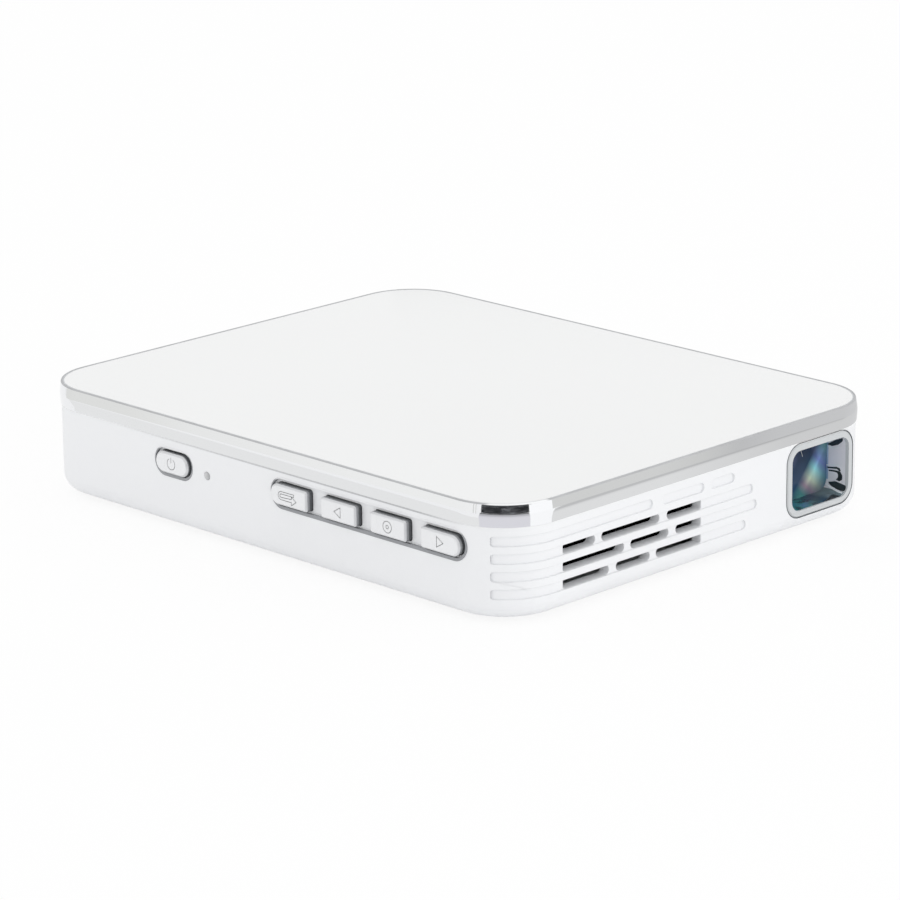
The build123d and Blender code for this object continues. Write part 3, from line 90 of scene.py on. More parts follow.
class StudioSettings(bpy.types.PropertyGroup):
    """Light, floor and camera."""

    floor_colour: FloatVectorProperty(
        name="Floor colour", description="Colour of the table top", subtype="COLOR", size=3,
        min=0, max=1, default=linear("#FFFFFF"))
    sky_strength: FloatProperty(
        name="Room light", description="Strength of the even light from all round", default=0.93, min=0)
    side_lamp: FloatProperty(
        name="Side lamp", description="Power of the soft lamp on the lens side", default=0.82, min=0,
        subtype="POWER", unit="POWER")
    shadow_share: FloatProperty(
        name="Shadow share", description="How much of the table's own shading the camera sees",
        default=0.11, min=0, max=1, subtype="FACTOR")
    focal_length: FloatProperty(
        name="Focal length", description="Focal length on a 36 mm wide sensor, in millimetres",
        default=163.211, min=1, subtype="DISTANCE_CAMERA")


class CaseSettings(bpy.types.PropertyGroup):
    """Outer case: shell, panel and edge band."""

    shell_colour: FloatVectorProperty(
        name="Shell colour", description="Colour of the moulded shell", subtype="COLOR", size=3,
        min=0, max=1, default=linear("#F3F4F6"))
    panel_colour: FloatVectorProperty(
        name="Panel colour", description="Colour of the glossy top panel", subtype="COLOR", size=3,
        min=0, max=1, default=linear("#EDEEEE"))
    plate_colour: FloatVectorProperty(
        name="Plating colour", description="Colour of the bright plating", subtype="COLOR", size=3,
        min=0, max=1, default=linear("#EDEEF0"))
    band_roughness: FloatProperty(
        name="Band roughness", description="Roughness of the plated band", default=0.05, min=0, max=1,
        subtype="FACTOR")
    # The seam colour is painted shade of the seam between band and panel.
    seam_shade_colour: FloatVectorProperty(
        name="Seam colour", description="Colour of the sealant between band and panel", subtype="COLOR",
        size=3, min=0, max=1, default=linear("#BABBBD"))
    corner_radius: FloatProperty(
        name="Corner radius", description="Radius of the body's upright corners", default=12.0 * MM,
        min=0, unit="LENGTH")
    corner_steps: IntProperty(
        name="Corner steps", description="Faces round each corner of the band", default=40, min=4)


class KeySettings(bpy.types.PropertyGroup):
    """Keys and the marks on them."""

    key_colour: FloatVectorProperty(
        name="Key colour", description="Colour of the pearl key caps", subtype="COLOR", size=3,
        min=0, max=1, default=linear("#F0F1F3"))
    mark_colour: FloatVectorProperty(
        name="Mark colour", description="Colour of the etched key marks", subtype="COLOR", size=3,
        min=0, max=1, default=linear("#E4E6E8"))
    mark_line: FloatProperty(
        name="Mark line", description="Width of the lines of the key marks", default=0.10 * MM, min=0,
        unit="LENGTH")
    mark_size: FloatProperty(
        name="Mark size", description="Height of the key marks", default=2.1 * MM, min=0, unit="LENGTH")


class LensSettings(bpy.types.PropertyGroup):
    """Lens window and the glass behind it."""

    glass_colour: FloatVectorProperty(
        name="Glass depth colour", description="Colour seen straight into the lens", subtype="COLOR",
        size=3, min=0, max=1, default=linear("#2F4F70"))
    coating_colour: FloatVectorProperty(
        name="Coating colour", description="Colour that the coating reflects", subtype="COLOR", size=3,
        min=0, max=1, default=linear("#7FB9C9"))
    pane_colour: FloatVectorProperty(
        name="Cover glass colour", description="Colour of the dark part of the cover glass",
        subtype="COLOR", size=3, min=0, max=1, default=linear("#1D2F47"))
    tube_colour: FloatVectorProperty(
        name="Tube colour", description="Colour of the window's inner walls", subtype="COLOR", size=3,
        min=0, max=1, default=linear("#F6F5FB"))
    bezel_line: FloatProperty(
        name="Bezel gap", description="Width of the dark line round the window's bezel",
        default=0.14 * MM, min=0, unit="LENGTH")


# Building blocks ----------------------------------------------------------------------------


def fill_ramp(ramp, stops):
    """Set a ramp from rising (position, colour) pairs; a colour is a hex code or linear."""
    while len(ramp.elements) < len(stops):
        ramp.elements.new(0.5)
    for element, (position, colour) in zip(ramp.elements, stops):
        element.position = position
        element.color = rgba(linear(colour) if isinstance(colour, str) else colour)


def output_of(source):
    """Socket to link from: a node stands for its first output in use."""
    if isinstance(source, bpy.types.Node):
        return next(socket for socket in source.outputs if socket.enabled)
    return source


def add(tree, kind, inputs=None, stops=None, **settings):
    """Add a shader node, set its properties and any ramp, and fill or link its inputs."""
    made = tree.nodes.new("ShaderNode" + kind)
    for name, value in settings.items():
        setattr(made, name, value)
    if stops:
        fill_ramp(made.color_ramp, stops)
    for name, value in (inputs or {}).items():
        if isinstance(value, (bpy.types.Node, bpy.types.NodeSocket)):
            tree.links.new(output_of(value), made.inputs[name])
        else:
            made.inputs[name].default_value = value
    return made


def start_material(name, **sockets):
    """Make a material with constants on its shader; return it, its tree and object coordinates."""
    material = bpy.data.materials.new(name)
    material.use_nodes = True
    tree = material.node_tree
    for socket, value in sockets.items():
        tree.nodes["Principled BSDF"].inputs[socket.replace("_", " ")].default_value = value
    return material, tree, add(tree, "TexCoord").outputs["Object"]


def wire(material, **sources):
    """Link nodes or outputs to the main shader's sockets, and return the material."""
    tree = material.node_tree
    for socket, source in sources.items():
        shader_input = tree.nodes["Principled BSDF"].inputs[socket.replace("_", " ")]
        tree.links.new(output_of(source), shader_input)
    return material


def patterned(name, kind, cells, dark, pale, relief=None, gloss=None, stretch=None, bands=None,
              **sockets):
    """Material of one pattern: two colours, and a relief (mm, strength) and a range of gloss."""
    material, tree, place = start_material(name, **sockets)
    if stretch:
        place = add(tree, "Mapping", {"Vector": place, "Scale": stretch})
    direction = {"bands_direction": bands} if bands else {}
    share = add(tree, kind, {"Vector": place, **cells}, **direction).outputs["Fac"]
    links = {"Base_Color": add(tree, "Mix", {0: share, 6: rgba(dark), 7: rgba(pale)}, data_type="RGBA")}
    if gloss:
        links["Roughness"] = add(tree, "MapRange", {"Value": share, "To Min": gloss[0], "To Max": gloss[1]})
    if relief:
        links["Normal"] = add(tree, "Bump", {"Height": share, "Distance": relief[0] * MM,
                                             "Strength": relief[1]})
    return wire(material, **links)


def mesh_from(name, build, sharp_degrees=28):
    """Run build(bm) on a new bmesh and return the finished mesh, smooth with sharp creases."""
    bm = bmesh.new()
    build(bm)
    bmesh.ops.recalc_face_normals(bm, faces=bm.faces)
    mesh = bpy.data.meshes.new(name)
    bm.to_mesh(mesh)
    bm.free()
    mesh.shade_smooth()
    mesh.set_sharp_from_angle(angle=radians(sharp_degrees))
    return mesh


def place_piece(name, build, material, body, slot, sharp_degrees=28):
    """Build a mesh, give it its finish and let it ride on a body."""
    mesh = mesh_from(name, build, sharp_degrees)
    mesh.materials.append(material)
    piece = bpy.data.objects.new(name, mesh)
    bpy.context.scene.collection.objects.link(piece)
    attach(piece, body)
    return piece


def bridge(bm, one, two, closed=True):
    """Faces between two rows with as many corners."""
    count = len(one)
    for i in range(count if closed else count - 1):
        j = (i + 1) % count
        bm.faces.new((one[i], one[j], two[j], two[i]))


def round_outline(half_x, half_y, radius, steps):
    """Points of a rounded rectangle, counter-clockwise."""
    points = []
    for corner, (sx, sy) in enumerate(((1, 1), (-1, 1), (-1, -1), (1, -1))):
        for step in range(steps + 1):
            angle = pi / 2 * (corner + step / steps)
            points.append((sx * (half_x - radius) + radius * cos(angle),
                           sy * (half_y - radius) + radius * sin(angle)))
    return points


def finish_node(name, material):
    """Give a CAD node its material."""
    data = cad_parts[name].data
    data.materials.clear()
    data.materials.append(material)


# Materials ----------------------------------------------------------------------------------


def spark_textured_abs(name, colour, roughness=0.42, grain_mm=0.35, depth_mm=0.004, edge_mm=0.12):
    """Injection-moulded ABS from a spark-eroded tool: an even satin skin with softened edges."""
    # The eroded tool leaves a fine pebble, which spreads the highlights. The real grain of about
    # 0.05 mm is too fine to show, so it is drawn coarser.
    material, tree, place = start_material(name, Roughness=roughness, IOR=1.53)
    pebble = add(tree, "TexNoise", {"Vector": place, "Scale": per_mm(grain_mm), "Detail": 3.0})
    flow = add(tree, "TexNoise", {"Vector": place, "Scale": per_mm(30.0), "Detail": 2.0})
    tint = add(tree, "Mix", {0: flow, 6: rgba(colour, 0.985), 7: rgba(colour)}, data_type="RGBA")
    edge = add(tree, "Bevel", {"Radius": edge_mm * MM}, samples=6)
    bump = add(tree, "Bump", {"Height": pebble, "Distance": depth_mm * MM, "Strength": 0.6, "Normal": edge})
    return wire(material, Base_Color=tint, Normal=bump)


def lacquered_abs(name, colour):
    """Moulded ABS under clear lacquer: deep gloss with a very slight ripple in its reflections."""
    # Sprayed lacquer levels out to a long low ripple, called orange peel, about 2 mm from crest to
    # crest, and a few specks of dust under it dull the gloss.
    material, tree, place = start_material(
        name, Roughness=0.22, IOR=1.53, Coat_Weight=1.0, Coat_Roughness=0.04, Coat_IOR=1.5)
    peel = add(tree, "TexNoise", {"Vector": place, "Scale": per_mm(2.0), "Detail": 1.0})
    cloud = add(tree, "TexNoise", {"Vector": place, "Scale": per_mm(45.0), "Detail": 2.0})
    tint = add(tree, "Mix", {0: cloud, 6: rgba(colour, 0.99), 7: rgba(colour)}, data_type="RGBA")
    bump = add(tree, "Bump", {"Height": peel, "Distance": 0.002 * MM, "Strength": 0.5})
    return wire(material, Base_Color=tint, Normal=bump, Coat_Normal=bump)


def bright_plated_abs(name, colour, roughness):
    """Electroplated ABS: mirror metal over moulded plastic, with the plastic's faint waves."""
    # Bright nickel and chrome copy the moulding under them, so reflections wander slightly, with
    # wiping marks in the finest layer.
    material, tree, place = start_material(name, Metallic=1.0, Base_Color=rgba(colour))
    wave = add(tree, "TexNoise", {"Vector": place, "Scale": per_mm(9.0), "Detail": 1.0})
    wipe = add(tree, "TexNoise", {"Vector": place, "Scale": per_mm(1.2), "Detail": 4.0})
    polish = add(tree, "MapRange", {"Value": wipe, "From Min": 0.3, "From Max": 0.7,
                                    "To Min": roughness * 0.7, "To Max": roughness * 1.4})
    bump = add(tree, "Bump", {"Height": wave, "Distance": 0.006 * MM, "Strength": 0.4})
    return wire(material, Roughness=polish, Normal=bump)


def pearl_lacquered_keys(name, colour, face_x, wall_x):
    """Pearl lacquer on ABS key caps: pearly faces, and flanks with painted shade, silver at the bevel and
    dark grey in their gap.
    """
    # The lacquer scatters light evenly on the face. The flanks carry painted shade, running from silver at
    # the bevel to dark grey at the wall.
    material, tree, place = start_material(name, Metallic=0.2, Roughness=0.32, IOR=1.5)
    grit = add(tree, "TexNoise", {"Vector": place, "Scale": per_mm(0.2), "Detail": 2.0})
    face = add(tree, "Mix", {0: grit, 6: rgba(colour, 0.97), 7: rgba(colour)}, data_type="RGBA")
    depth = add(tree, "MapRange", {"Value": add(tree, "SeparateXYZ", {"Vector": place}).outputs["X"],
                                   "From Min": face_x, "From Max": wall_x})
    # Painted shade on the flanks: darker the deeper they reach into the gap.
    painted_flank_shade = add(tree, "ValToRGB", {"Fac": depth}, stops=[(0.0, "#DDDEE0"),
        (0.14, "#B4B5B8"), (0.35, "#A2A3A7"), (0.7, "#9C9EA1"), (0.86, "#7B7D80"), (1.0, "#55575A")])
    lean = add(tree, "Math", {0: add(tree, "SeparateXYZ", {
        "Vector": add(tree, "NewGeometry").outputs["Normal"]}).outputs["X"]}, operation="ABSOLUTE")
    fronting = add(tree, "MapRange", {"Value": lean, "From Min": 0.45, "From Max": 0.9})
    shade = add(tree, "Mix", {0: fronting, 6: painted_flank_shade, 7: face}, data_type="RGBA")
    edge = add(tree, "Bevel", {"Radius": 0.1 * MM}, samples=6)
    bump = add(tree, "Bump", {"Height": grit, "Distance": 0.003 * MM, "Strength": 0.5, "Normal": edge})
    return wire(material, Base_Color=shade, Normal=bump)


def shade_painted_trim(name, low_z, high_z, grey=linear("#9C9EA2"), white=linear("#F1F2F4")):
    """Moulded ABS ring with painted shade: grey along the lower rim, running out to white at the top."""
    # The grey is painted shade of the gap below and beside the keys, so it fades into the shell at the
    # upper rim.
    material, tree, place = start_material(name, Roughness=0.35, IOR=1.53)
    flow = add(tree, "TexNoise", {"Vector": place, "Scale": per_mm(2.5), "Detail": 2.0})
    height = add(tree, "MapRange", {"Value": add(tree, "SeparateXYZ", {"Vector": place}).outputs["Z"],
                                    "From Min": low_z, "From Max": high_z})
    painted_shade_grey = add(tree, "Mix", {0: flow, 6: rgba(grey, 0.9), 7: rgba(grey)}, data_type="RGBA")
    shade = add(tree, "Mix", {0: height, 6: painted_shade_grey, 7: rgba(white)}, data_type="RGBA")
    return wire(material, Base_Color=shade)


def etched_ink(name, colour):
    """Pad-printed ink in a shallow etch: a matt line, a little uneven in its grey."""
    # Thin ink lets some of the lacquer through where it is starved.
    return patterned(name, "TexNoise", {"Scale": per_mm(0.4), "Detail": 3.0}, rgba(colour, 0.8),
                     colour, Roughness=0.6, IOR=1.5)


def coated_glass(name, depth_colour, coating_colour):
    """Polished optical glass with an anti-reflection coating: dark depth, and a painted teal and violet
    sheen.
    """
    # The coating's reflection is painted into the colour by facing: blue-green straight on, turning violet
    # towards the rim, and a trace of pitch marks softens it in places.
    material, tree, place = start_material(name, Roughness=0.03, IOR=1.52, Coat_Weight=1.0,
                                           Coat_Roughness=0.02, Coat_IOR=1.7)
    facing = add(tree, "LayerWeight", {"Blend": 0.35})
    drift = add(tree, "TexNoise", {"Vector": place, "Scale": per_mm(7.0), "Detail": 1.0})
    angle = add(tree, "Math", {0: facing.outputs["Facing"], 1: drift}, operation="MULTIPLY")
    painted_coating_sheen = add(tree, "ValToRGB", {"Fac": angle},
                stops=[(0.05, depth_colour), (0.32, coating_colour), (0.62, "#5B5C8C")])
    return wire(material, Base_Color=painted_coating_sheen)


def sprayed_silver(name, colour):
    """Fine silver paint on the window's tube: pale lilac grey with a low sheen."""
    # The flake is finer than a pixel, so it is drawn a little coarser and shows as a faint drift.
    material, tree, place = start_material(name, Roughness=0.42, IOR=1.5)
    flake = add(tree, "TexNoise", {"Vector": place, "Scale": per_mm(0.3), "Detail": 3.0})
    drift = add(tree, "TexNoise", {"Vector": place, "Scale": per_mm(4.0), "Detail": 1.0})
    spread = add(tree, "Math", {0: flake, 1: drift}, operation="MULTIPLY")
    shade = add(tree, "Mix", {0: spread, 6: rgba(colour, 0.92), 7: rgba(colour)}, data_type="RGBA")
    bump = add(tree, "Bump", {"Height": flake, "Distance": 0.004 * MM, "Strength": 0.4})
    return wire(material, Base_Color=shade, Normal=bump)


def multicoated_pane(name, depth_colour, coating_colour):
    """Domed cover glass with a multilayer coating: navy depth crossed by a painted reflection, a band of
    teal and violet.
    """
    # The lit room that the coating mirrors is painted on in one soft slanting band, from green and straw at
    # the foot to violet and teal at the top. Patches of painted lilac sheen lie on the dark depth, which is
    # bluer at the foot.
    material, tree, place = start_material(name, Roughness=0.14, IOR=1.45, Specular_IOR_Level=0.22)
    swirl = add(tree, "TexNoise", {"Vector": place, "Scale": per_mm(3.2), "Detail": 1.0, "Distortion": 0.4})
    along = add(tree, "VectorMath", {0: place, 1: (0.637, 0.0, 0.771)}, operation="DOT_PRODUCT")
    across = add(tree, "VectorMath", {0: place, 1: (0.771, 0.0, -0.637)}, operation="DOT_PRODUCT")
    run = add(tree, "MapRange", {"Value": along, "From Min": 25.2 * MM, "From Max": 35.2 * MM})
    painted_room_reflection = add(tree, "ValToRGB", {"Fac": run}, stops=[(0.0, "#5FA39C"),
        (0.16, "#B29AA8"), (0.33, "#CFE0C6"), (0.54, "#98DCE2"), (0.72, "#7F93D2"), (1.0, "#78AAB2")])
    spread = add(tree, "MapRange", {"Value": across, "From Min": 16.9 * MM, "From Max": 26.4 * MM})
    weight = add(tree, "ValToRGB", {"Fac": spread}, stops=[(0.0, "#000000"),
        (0.27, "#1A1A1A"), (0.42, "#C8C8C8"), (0.54, "#FFFFFF"), (0.68, "#DADADA"), (0.84, "#B4B4B4"),
        (1.0, "#8C8C8C")])
    broken = add(tree, "MapRange", {"Value": swirl, "From Min": 0.3, "From Max": 0.62,
                                    "To Min": 0.55, "To Max": 1.0})
    share = add(tree, "Math", {0: weight, 1: broken}, operation="MULTIPLY")
    foot = add(tree, "MapRange", {"Value": add(tree, "SeparateXYZ", {"Vector": place}).outputs["Z"],
                                  "From Min": 4.7 * MM, "From Max": 13.0 * MM})
    depth = add(tree, "Mix", {0: foot, 6: rgba(coating_colour), 7: rgba(depth_colour)}, data_type="RGBA")
    bloom = add(tree, "TexNoise", {"Vector": place, "Scale": per_mm(3.6), "Detail": 1.0, "Distortion": 0.3})
    painted_sheen_mottle = add(tree, "ValToRGB", {"Fac": bloom}, stops=[(0.3, "#000000"), (0.5, "#262626"),
        (0.72, "#7A7A7A")])
    veiled = add(tree, "Mix", {0: painted_sheen_mottle, 6: depth, 7: rgba(linear("#7C7FA6"))}, data_type="RGBA")
    shade = add(tree, "Mix", {0: share, 6: veiled, 7: painted_room_reflection}, data_type="RGBA")
    return wire(material, Base_Color=shade)


def clear_polycarbonate(name, painted_light_side=None):
    """Moulded clear polycarbonate: glassy and colourless, slightly hazy where light leaves it."""
    # The guide's end is left as it comes from the tool, so it is softly hazy. Where two places along Y are
    # given, painted light makes it bright at the second, dimming to painted shade towards the first.
    material, tree, place = start_material(name, Roughness=0.25, IOR=1.58, Transmission_Weight=0.25)
    haze = add(tree, "TexNoise", {"Vector": place, "Scale": per_mm(0.5), "Detail": 2.0})
    shade = add(tree, "Mix", {0: haze, 6: rgba(linear("#C2C4C7")),
                              7: rgba(linear("#DDDFE1"))}, data_type="RGBA")
    if painted_light_side:
        level = add(tree, "SeparateXYZ", {"Vector": place}).outputs["Y"]
        side = add(tree, "MapRange", {"Value": level, "From Min": painted_light_side[0], "From Max": painted_light_side[1]})
        glow = add(tree, "Mix", {0: side, 6: rgba(linear("#B4B6B8")),
                                 7: rgba(linear("#FBFBFC"))}, data_type="RGBA")
        shade = add(tree, "Mix", {0: 0.8, 6: shade, 7: glow}, data_type="RGBA")
    return wire(material, Base_Color=shade)


def filter_acrylic(name):
    """Cast acrylic dyed for infrared: near black, glossy, with a trace of red."""
    # It passes only the light of a remote control, so the eye sees a dark gloss.
    return patterned(name, "TexNoise", {"Scale": per_mm(3.0), "Detail": 1.0}, linear("#14090B"),
                     linear("#1C1013"), Roughness=0.06, IOR=1.49)


def glass_filled_nylon(name, colour=linear("#1B1C1E"), roughness=0.5):
    """Moulded nylon with glass fibre: matt dark plastic with faint flow streaks."""
    # Fibres near the skin align with the flow and leave a slightly lighter, streaked grey.
    return patterned(name, "TexNoise", {"Scale": per_mm(1.0), "Detail": 4.0}, colour,
                     rgba(colour, 1.5), relief=(0.004, 0.4), gloss=(roughness - 0.08, roughness + 0.1),
                     stretch=(1.0, 1.0, 6.0), IOR=1.53)


def die_cast_metal(name, colour=linear("#9A9CA0")):
    """Die-cast magnesium, tumbled: dull grey metal with a pitted skin and cloudy patches."""
    # Tumbling rounds the pits to about 0.3 mm and greys the skin unevenly.
    material, tree, place = start_material(name, Metallic=1.0)
    pits = add(tree, "TexVoronoi", {"Vector": place, "Scale": per_mm(0.3)})
    cloud = add(tree, "TexNoise", {"Vector": place, "Scale": per_mm(5.0), "Detail": 4.0})
    shade = add(tree, "Mix", {0: cloud, 6: rgba(colour, 0.75), 7: rgba(colour)}, data_type="RGBA")
    gloss = add(tree, "MapRange", {"Value": cloud, "To Min": 0.42, "To Max": 0.6})
    bump = add(tree, "Bump", {"Height": pits, "Distance": 0.01 * MM, "Strength": 0.5})
    return wire(material, Base_Color=shade, Roughness=gloss, Normal=bump)


def drawn_metal(name, colour, roughness, line_mm=0.25, along="X"):
    """Rolled or drawn sheet and bar: metal with fine lines along the way it was pulled."""
    # Rolling marks are a few hundredths of a millimetre apart; they are drawn coarser to show.
    return patterned(name, "TexNoise", {"Scale": per_mm(line_mm), "Detail": 4.0}, rgba(colour, 0.86),
                     colour, relief=(0.002, 0.4), gloss=(roughness - 0.06, roughness + 0.1),
                     stretch=[0.04 if axis == along else 1.0 for axis in "XYZ"], Metallic=1.0)


def turned_brass(name, pitch_mm=0.3):
    """Free-machining brass, turned on a lathe: yellow metal with fine rings of tool marks."""
    # Each turn of the tool leaves a shallow ring, which breaks the highlight into bands.
    return patterned(name, "TexWave", {"Scale": per_mm(pitch_mm) / tau, "Distortion": 0.4},
                     linear("#C9A557"), linear("#D9BC78"), relief=(0.004, 0.5), bands="Z",
                     Metallic=1.0, Roughness=0.24)


def wound_copper(name, wire_mm=0.3):
    """Enamelled copper wire, machine wound: red-brown metal in fine close turns."""
    # The lacquer on the wire darkens the copper, and each turn catches its own thin highlight.
    return patterned(name, "TexWave", {"Scale": per_mm(wire_mm) / tau}, linear("#7A3F22"),
                     linear("#C77B4E"), relief=(0.05, 0.8), bands="Z", Metallic=1.0, Roughness=0.3)


def masked_board(name, mask=linear("#0F4A2E"), track_mm=1.1):
    """Glass-epoxy board under green solder mask: satin green with paler copper tracks beneath."""
    # Copper under the mask shows as lighter blocks with straight edges, about a millimetre apart.
    material, tree, place = start_material(name, Roughness=0.34, IOR=1.5, Coat_Weight=0.4)
    tracks = add(tree, "TexBrick", {"Vector": place, "Color1": rgba(mask), "Color2": rgba(mask, 1.9),
                                    "Mortar": rgba(mask, 0.55), "Scale": per_mm(track_mm),
                                    "Mortar Size": 0.12, "Brick Width": 4.0, "Row Height": 1.0})
    bump = add(tree, "Bump", {"Height": tracks.outputs["Fac"], "Distance": 0.02 * MM, "Strength": 0.4},
               invert=True)
    return wire(material, Base_Color=tracks.outputs["Color"], Normal=bump)


def pouch_foil(name):
    """Laminated aluminium foil, heat sealed: soft silver skin with shallow dents and wrinkles."""
    # The nylon face of the laminate dulls the foil, and the cell inside presses long dents in it.
    return patterned(name, "TexNoise", {"Scale": per_mm(6.0), "Detail": 3.0, "Distortion": 0.6},
                     linear("#A9ACB2"), linear("#C6C9CE"), relief=(0.15, 0.5),
                     Metallic=0.9, Roughness=0.38)


def moulded_rubber(name, colour=linear("#26272A")):
    """Compression-moulded rubber: dull dark grey with a dusty bloom."""
    # Rubber feet pick up dust, so the grey is patchy and the surface has almost no highlight.
    return patterned(name, "TexNoise", {"Scale": per_mm(1.5), "Detail": 5.0}, colour,
                     rgba(colour, 2.2), relief=(0.02, 0.5), Roughness=0.82, IOR=1.52)


def seam_shade_bead(name, colour, white=linear("#F7F8F9")):
    """Bead in the seam, with a dull sheen: grey painted shade of the seam, and a white painted highlight on
    the lip round the front corner.
    """
    # The bead's tone drifts at random every few millimetres. Round the corner next to the keys the colour
    # turns white, a painted highlight on the lip.
    material, tree, place = start_material(name, Roughness=0.5, IOR=1.41)
    skip = add(tree, "TexNoise", {"Vector": place, "Scale": per_mm(6.0), "Detail": 3.0})
    painted_seam_shade = add(tree, "Mix", {0: skip, 6: rgba(colour, 0.84), 7: rgba(colour, 1.16)}, data_type="RGBA")
    along = add(tree, "VectorMath", {0: place, 1: (-0.552, -0.834, 0.0)}, operation="DOT_PRODUCT")
    painted_lip_highlight = add(tree, "MapRange", {"Value": along, "From Min": 73.25 * MM, "From Max": 72.85 * MM})
    shade = add(tree, "Mix", {0: painted_lip_highlight, 6: rgba(white), 7: painted_seam_shade}, data_type="RGBA")
    bump = add(tree, "Bump", {"Height": skip, "Distance": 0.02 * MM, "Strength": 0.3})
    return wire(material, Base_Color=shade, Normal=bump)


def lip_shadow_line(name):
    """Thin strip under the band, seen edge on, with a painted shadow: pale, greyer in the middle of the
    keys' side.
    """
    # The grey is painted shadow under the band's lip, darkest in the middle of that side.
    material, tree, place = start_material(name, Roughness=0.9, IOR=1.5)
    cells = add(tree, "TexNoise", {"Vector": place, "Scale": per_mm(0.5), "Detail": 3.0})
    parts = add(tree, "SeparateXYZ", {"Vector": place})
    side = add(tree, "MapRange", {"Value": parts.outputs["X"], "From Min": -49.4 * MM,
                                  "From Max": -48.4 * MM, "To Min": 1.0, "To Max": 0.0})
    run = add(tree, "MapRange", {"Value": parts.outputs["Y"], "From Min": -52.0 * MM,
                                 "From Max": 40.0 * MM})
    shadow_run = add(tree, "ValToRGB", {"Fac": run}, stops=[(0.0, "#000000"),
        (0.12, "#FFFFFF"), (0.6, "#E0E0E0"), (1.0, "#000000")])
    share = add(tree, "Math", {0: side, 1: shadow_run}, operation="MULTIPLY")
    shade = add(tree, "Mix", {0: share, 6: rgba(linear("#F4F5F6")),
                              7: rgba(linear("#C2C3C5"))}, data_type="RGBA")
    bump = add(tree, "Bump", {"Height": cells, "Distance": 0.03 * MM, "Strength": 0.5})
    return wire(material, Base_Color=shade, Normal=bump)


def reflection_painted_bead(name):
    """Bead at the cover glass: glossy, with the glass's ice blue as a painted reflection."""
    # The blue that a clear bead would mirror is painted into its colour, lighter in random patches.
    return patterned(name, "TexNoise", {"Scale": per_mm(2.4), "Detail": 1.0}, linear("#7FA6CE"),
                     linear("#C4DAF0"), Roughness=0.15, IOR=1.5)


def reflection_painted_liner(name):
    """Dark glossy sheet on the tube's floor with a painted reflection: teal and navy from the glass, greyer
    outwards.
    """
    # Near the glass its colour is a painted reflection of the glass, and it turns grey towards the far
    # front corner.
    material, tree, place = start_material(name, Roughness=0.18, IOR=1.45, Specular_IOR_Level=0.3)
    swirl = add(tree, "TexNoise", {"Vector": place, "Scale": per_mm(3.0), "Detail": 2.0, "Distortion": 0.6})
    painted_glass_reflection = add(tree, "ValToRGB", {"Fac": swirl}, stops=[(0.36, "#24374A"), (0.5, "#3F8385"),
        (0.64, "#4A7FA6")])
    run = add(tree, "MapRange", {"Value": add(tree, "SeparateXYZ", {"Vector": place}).outputs["X"],
                                 "From Min": 30.0 * MM, "From Max": 40.0 * MM})
    navy_to_grey = add(tree, "ValToRGB", {"Fac": run}, stops=[(0.0, "#33475F"), (0.5, "#3A4C60"),
        (0.72, "#6B7B82"), (1.0, "#7D8C90")])
    pooled = add(tree, "MapRange", {"Value": run, "From Min": 0.0, "From Max": 0.4})
    shade = add(tree, "Mix", {0: pooled, 6: painted_glass_reflection, 7: navy_to_grey}, data_type="RGBA")
    return wire(material, Base_Color=shade)


# Studio -------------------------------------------------------------------------------------


def white_for_camera(tree):
    """Value that is 1 for rays that see the background: from the camera, metal and glass."""
    path = add(tree, "LightPath")
    seen = add(tree, "Math", {0: path.outputs["Is Camera Ray"], 1: path.outputs["Is Glossy Ray"]},
               operation="MAXIMUM")
    return add(tree, "Math", {0: seen, 1: path.outputs["Is Transmission Ray"]}, operation="MAXIMUM")


def paper_floor(settings):
    """Matt white paper sweep: plain white to the camera, with the object's soft shadow kept."""
    material, tree, place = start_material("white_paper_sweep", Roughness=0.9, Specular_IOR_Level=0.0)
    fibre = add(tree, "TexNoise", {"Vector": place, "Scale": per_mm(40.0), "Detail": 3.0})
    colour = settings.floor_colour
    shade = add(tree, "Mix", {0: fibre, 6: rgba(colour, 0.995), 7: rgba(colour)}, data_type="RGBA")
    wire(material, Base_Color=shade)
    paper = tree.nodes["Principled BSDF"].outputs["BSDF"]
    glow = add(tree, "Emission", {"Color": (1.0, 1.0, 1.0, 1.0), "Strength": 1.0})
    share = add(tree, "Math", {0: white_for_camera(tree), 1: 1.0 - settings.shadow_share},
                operation="MULTIPLY")
    mixed = add(tree, "MixShader", {0: share, 1: paper, 2: glow})
    # From below, the paper lets the eye through to the object's underside.
    clear = add(tree, "BsdfTransparent")
    sided = add(tree, "MixShader", {0: add(tree, "NewGeometry").outputs["Backfacing"], 1: mixed, 2: clear})
    tree.links.new(sided.outputs[0], tree.nodes["Material Output"].inputs["Surface"])
    return material


def emit(material, tree, colour, strength):
    """Make a material give out light of its own, and return it."""
    glow = add(tree, "Emission", {"Color": colour, "Strength": strength})
    tree.links.new(glow.outputs[0], tree.nodes["Material Output"].inputs["Surface"])
    return material


def card_material(name, measure, stops, strength=1.0, fade=None):
    """Lit card whose tone changes along a bearing, a distance from the corner, or one axis."""
    material, tree, place = start_material(name)
    marks = [value * MM for value, _ in stops]
    if measure == "bearing":
        reading = add(tree, "TexGradient", {"Vector": place}, gradient_type="RADIAL")
        marks = [value / 360 + 0.5 for value, _ in stops]
    elif measure == "reach":
        reading = add(tree, "VectorMath", {0: place}, operation="LENGTH")
    else:
        reading = add(tree, "SeparateXYZ", {"Vector": place}).outputs[measure]
    first, last = marks[0], marks[-1]
    share = add(tree, "MapRange", {"Value": reading, "From Min": first, "From Max": last})
    tones = add(tree, "ValToRGB", {"Fac": share},
                stops=[((mark - first) / (last - first), code) for mark, (_, code) in zip(marks, stops)])
    if fade:
        near, far, left = fade
        across = add(tree, "VectorMath", {0: place, 1: (1.0, 1.0, 0.0)}, operation="DOT_PRODUCT")
        dimmed = add(tree, "MapRange", {"Value": across, "From Min": near * MM,
                                        "From Max": far * MM, "To Min": strength,
                                        "To Max": strength * left})
        strength = dimmed
    return emit(material, tree, tones, strength)


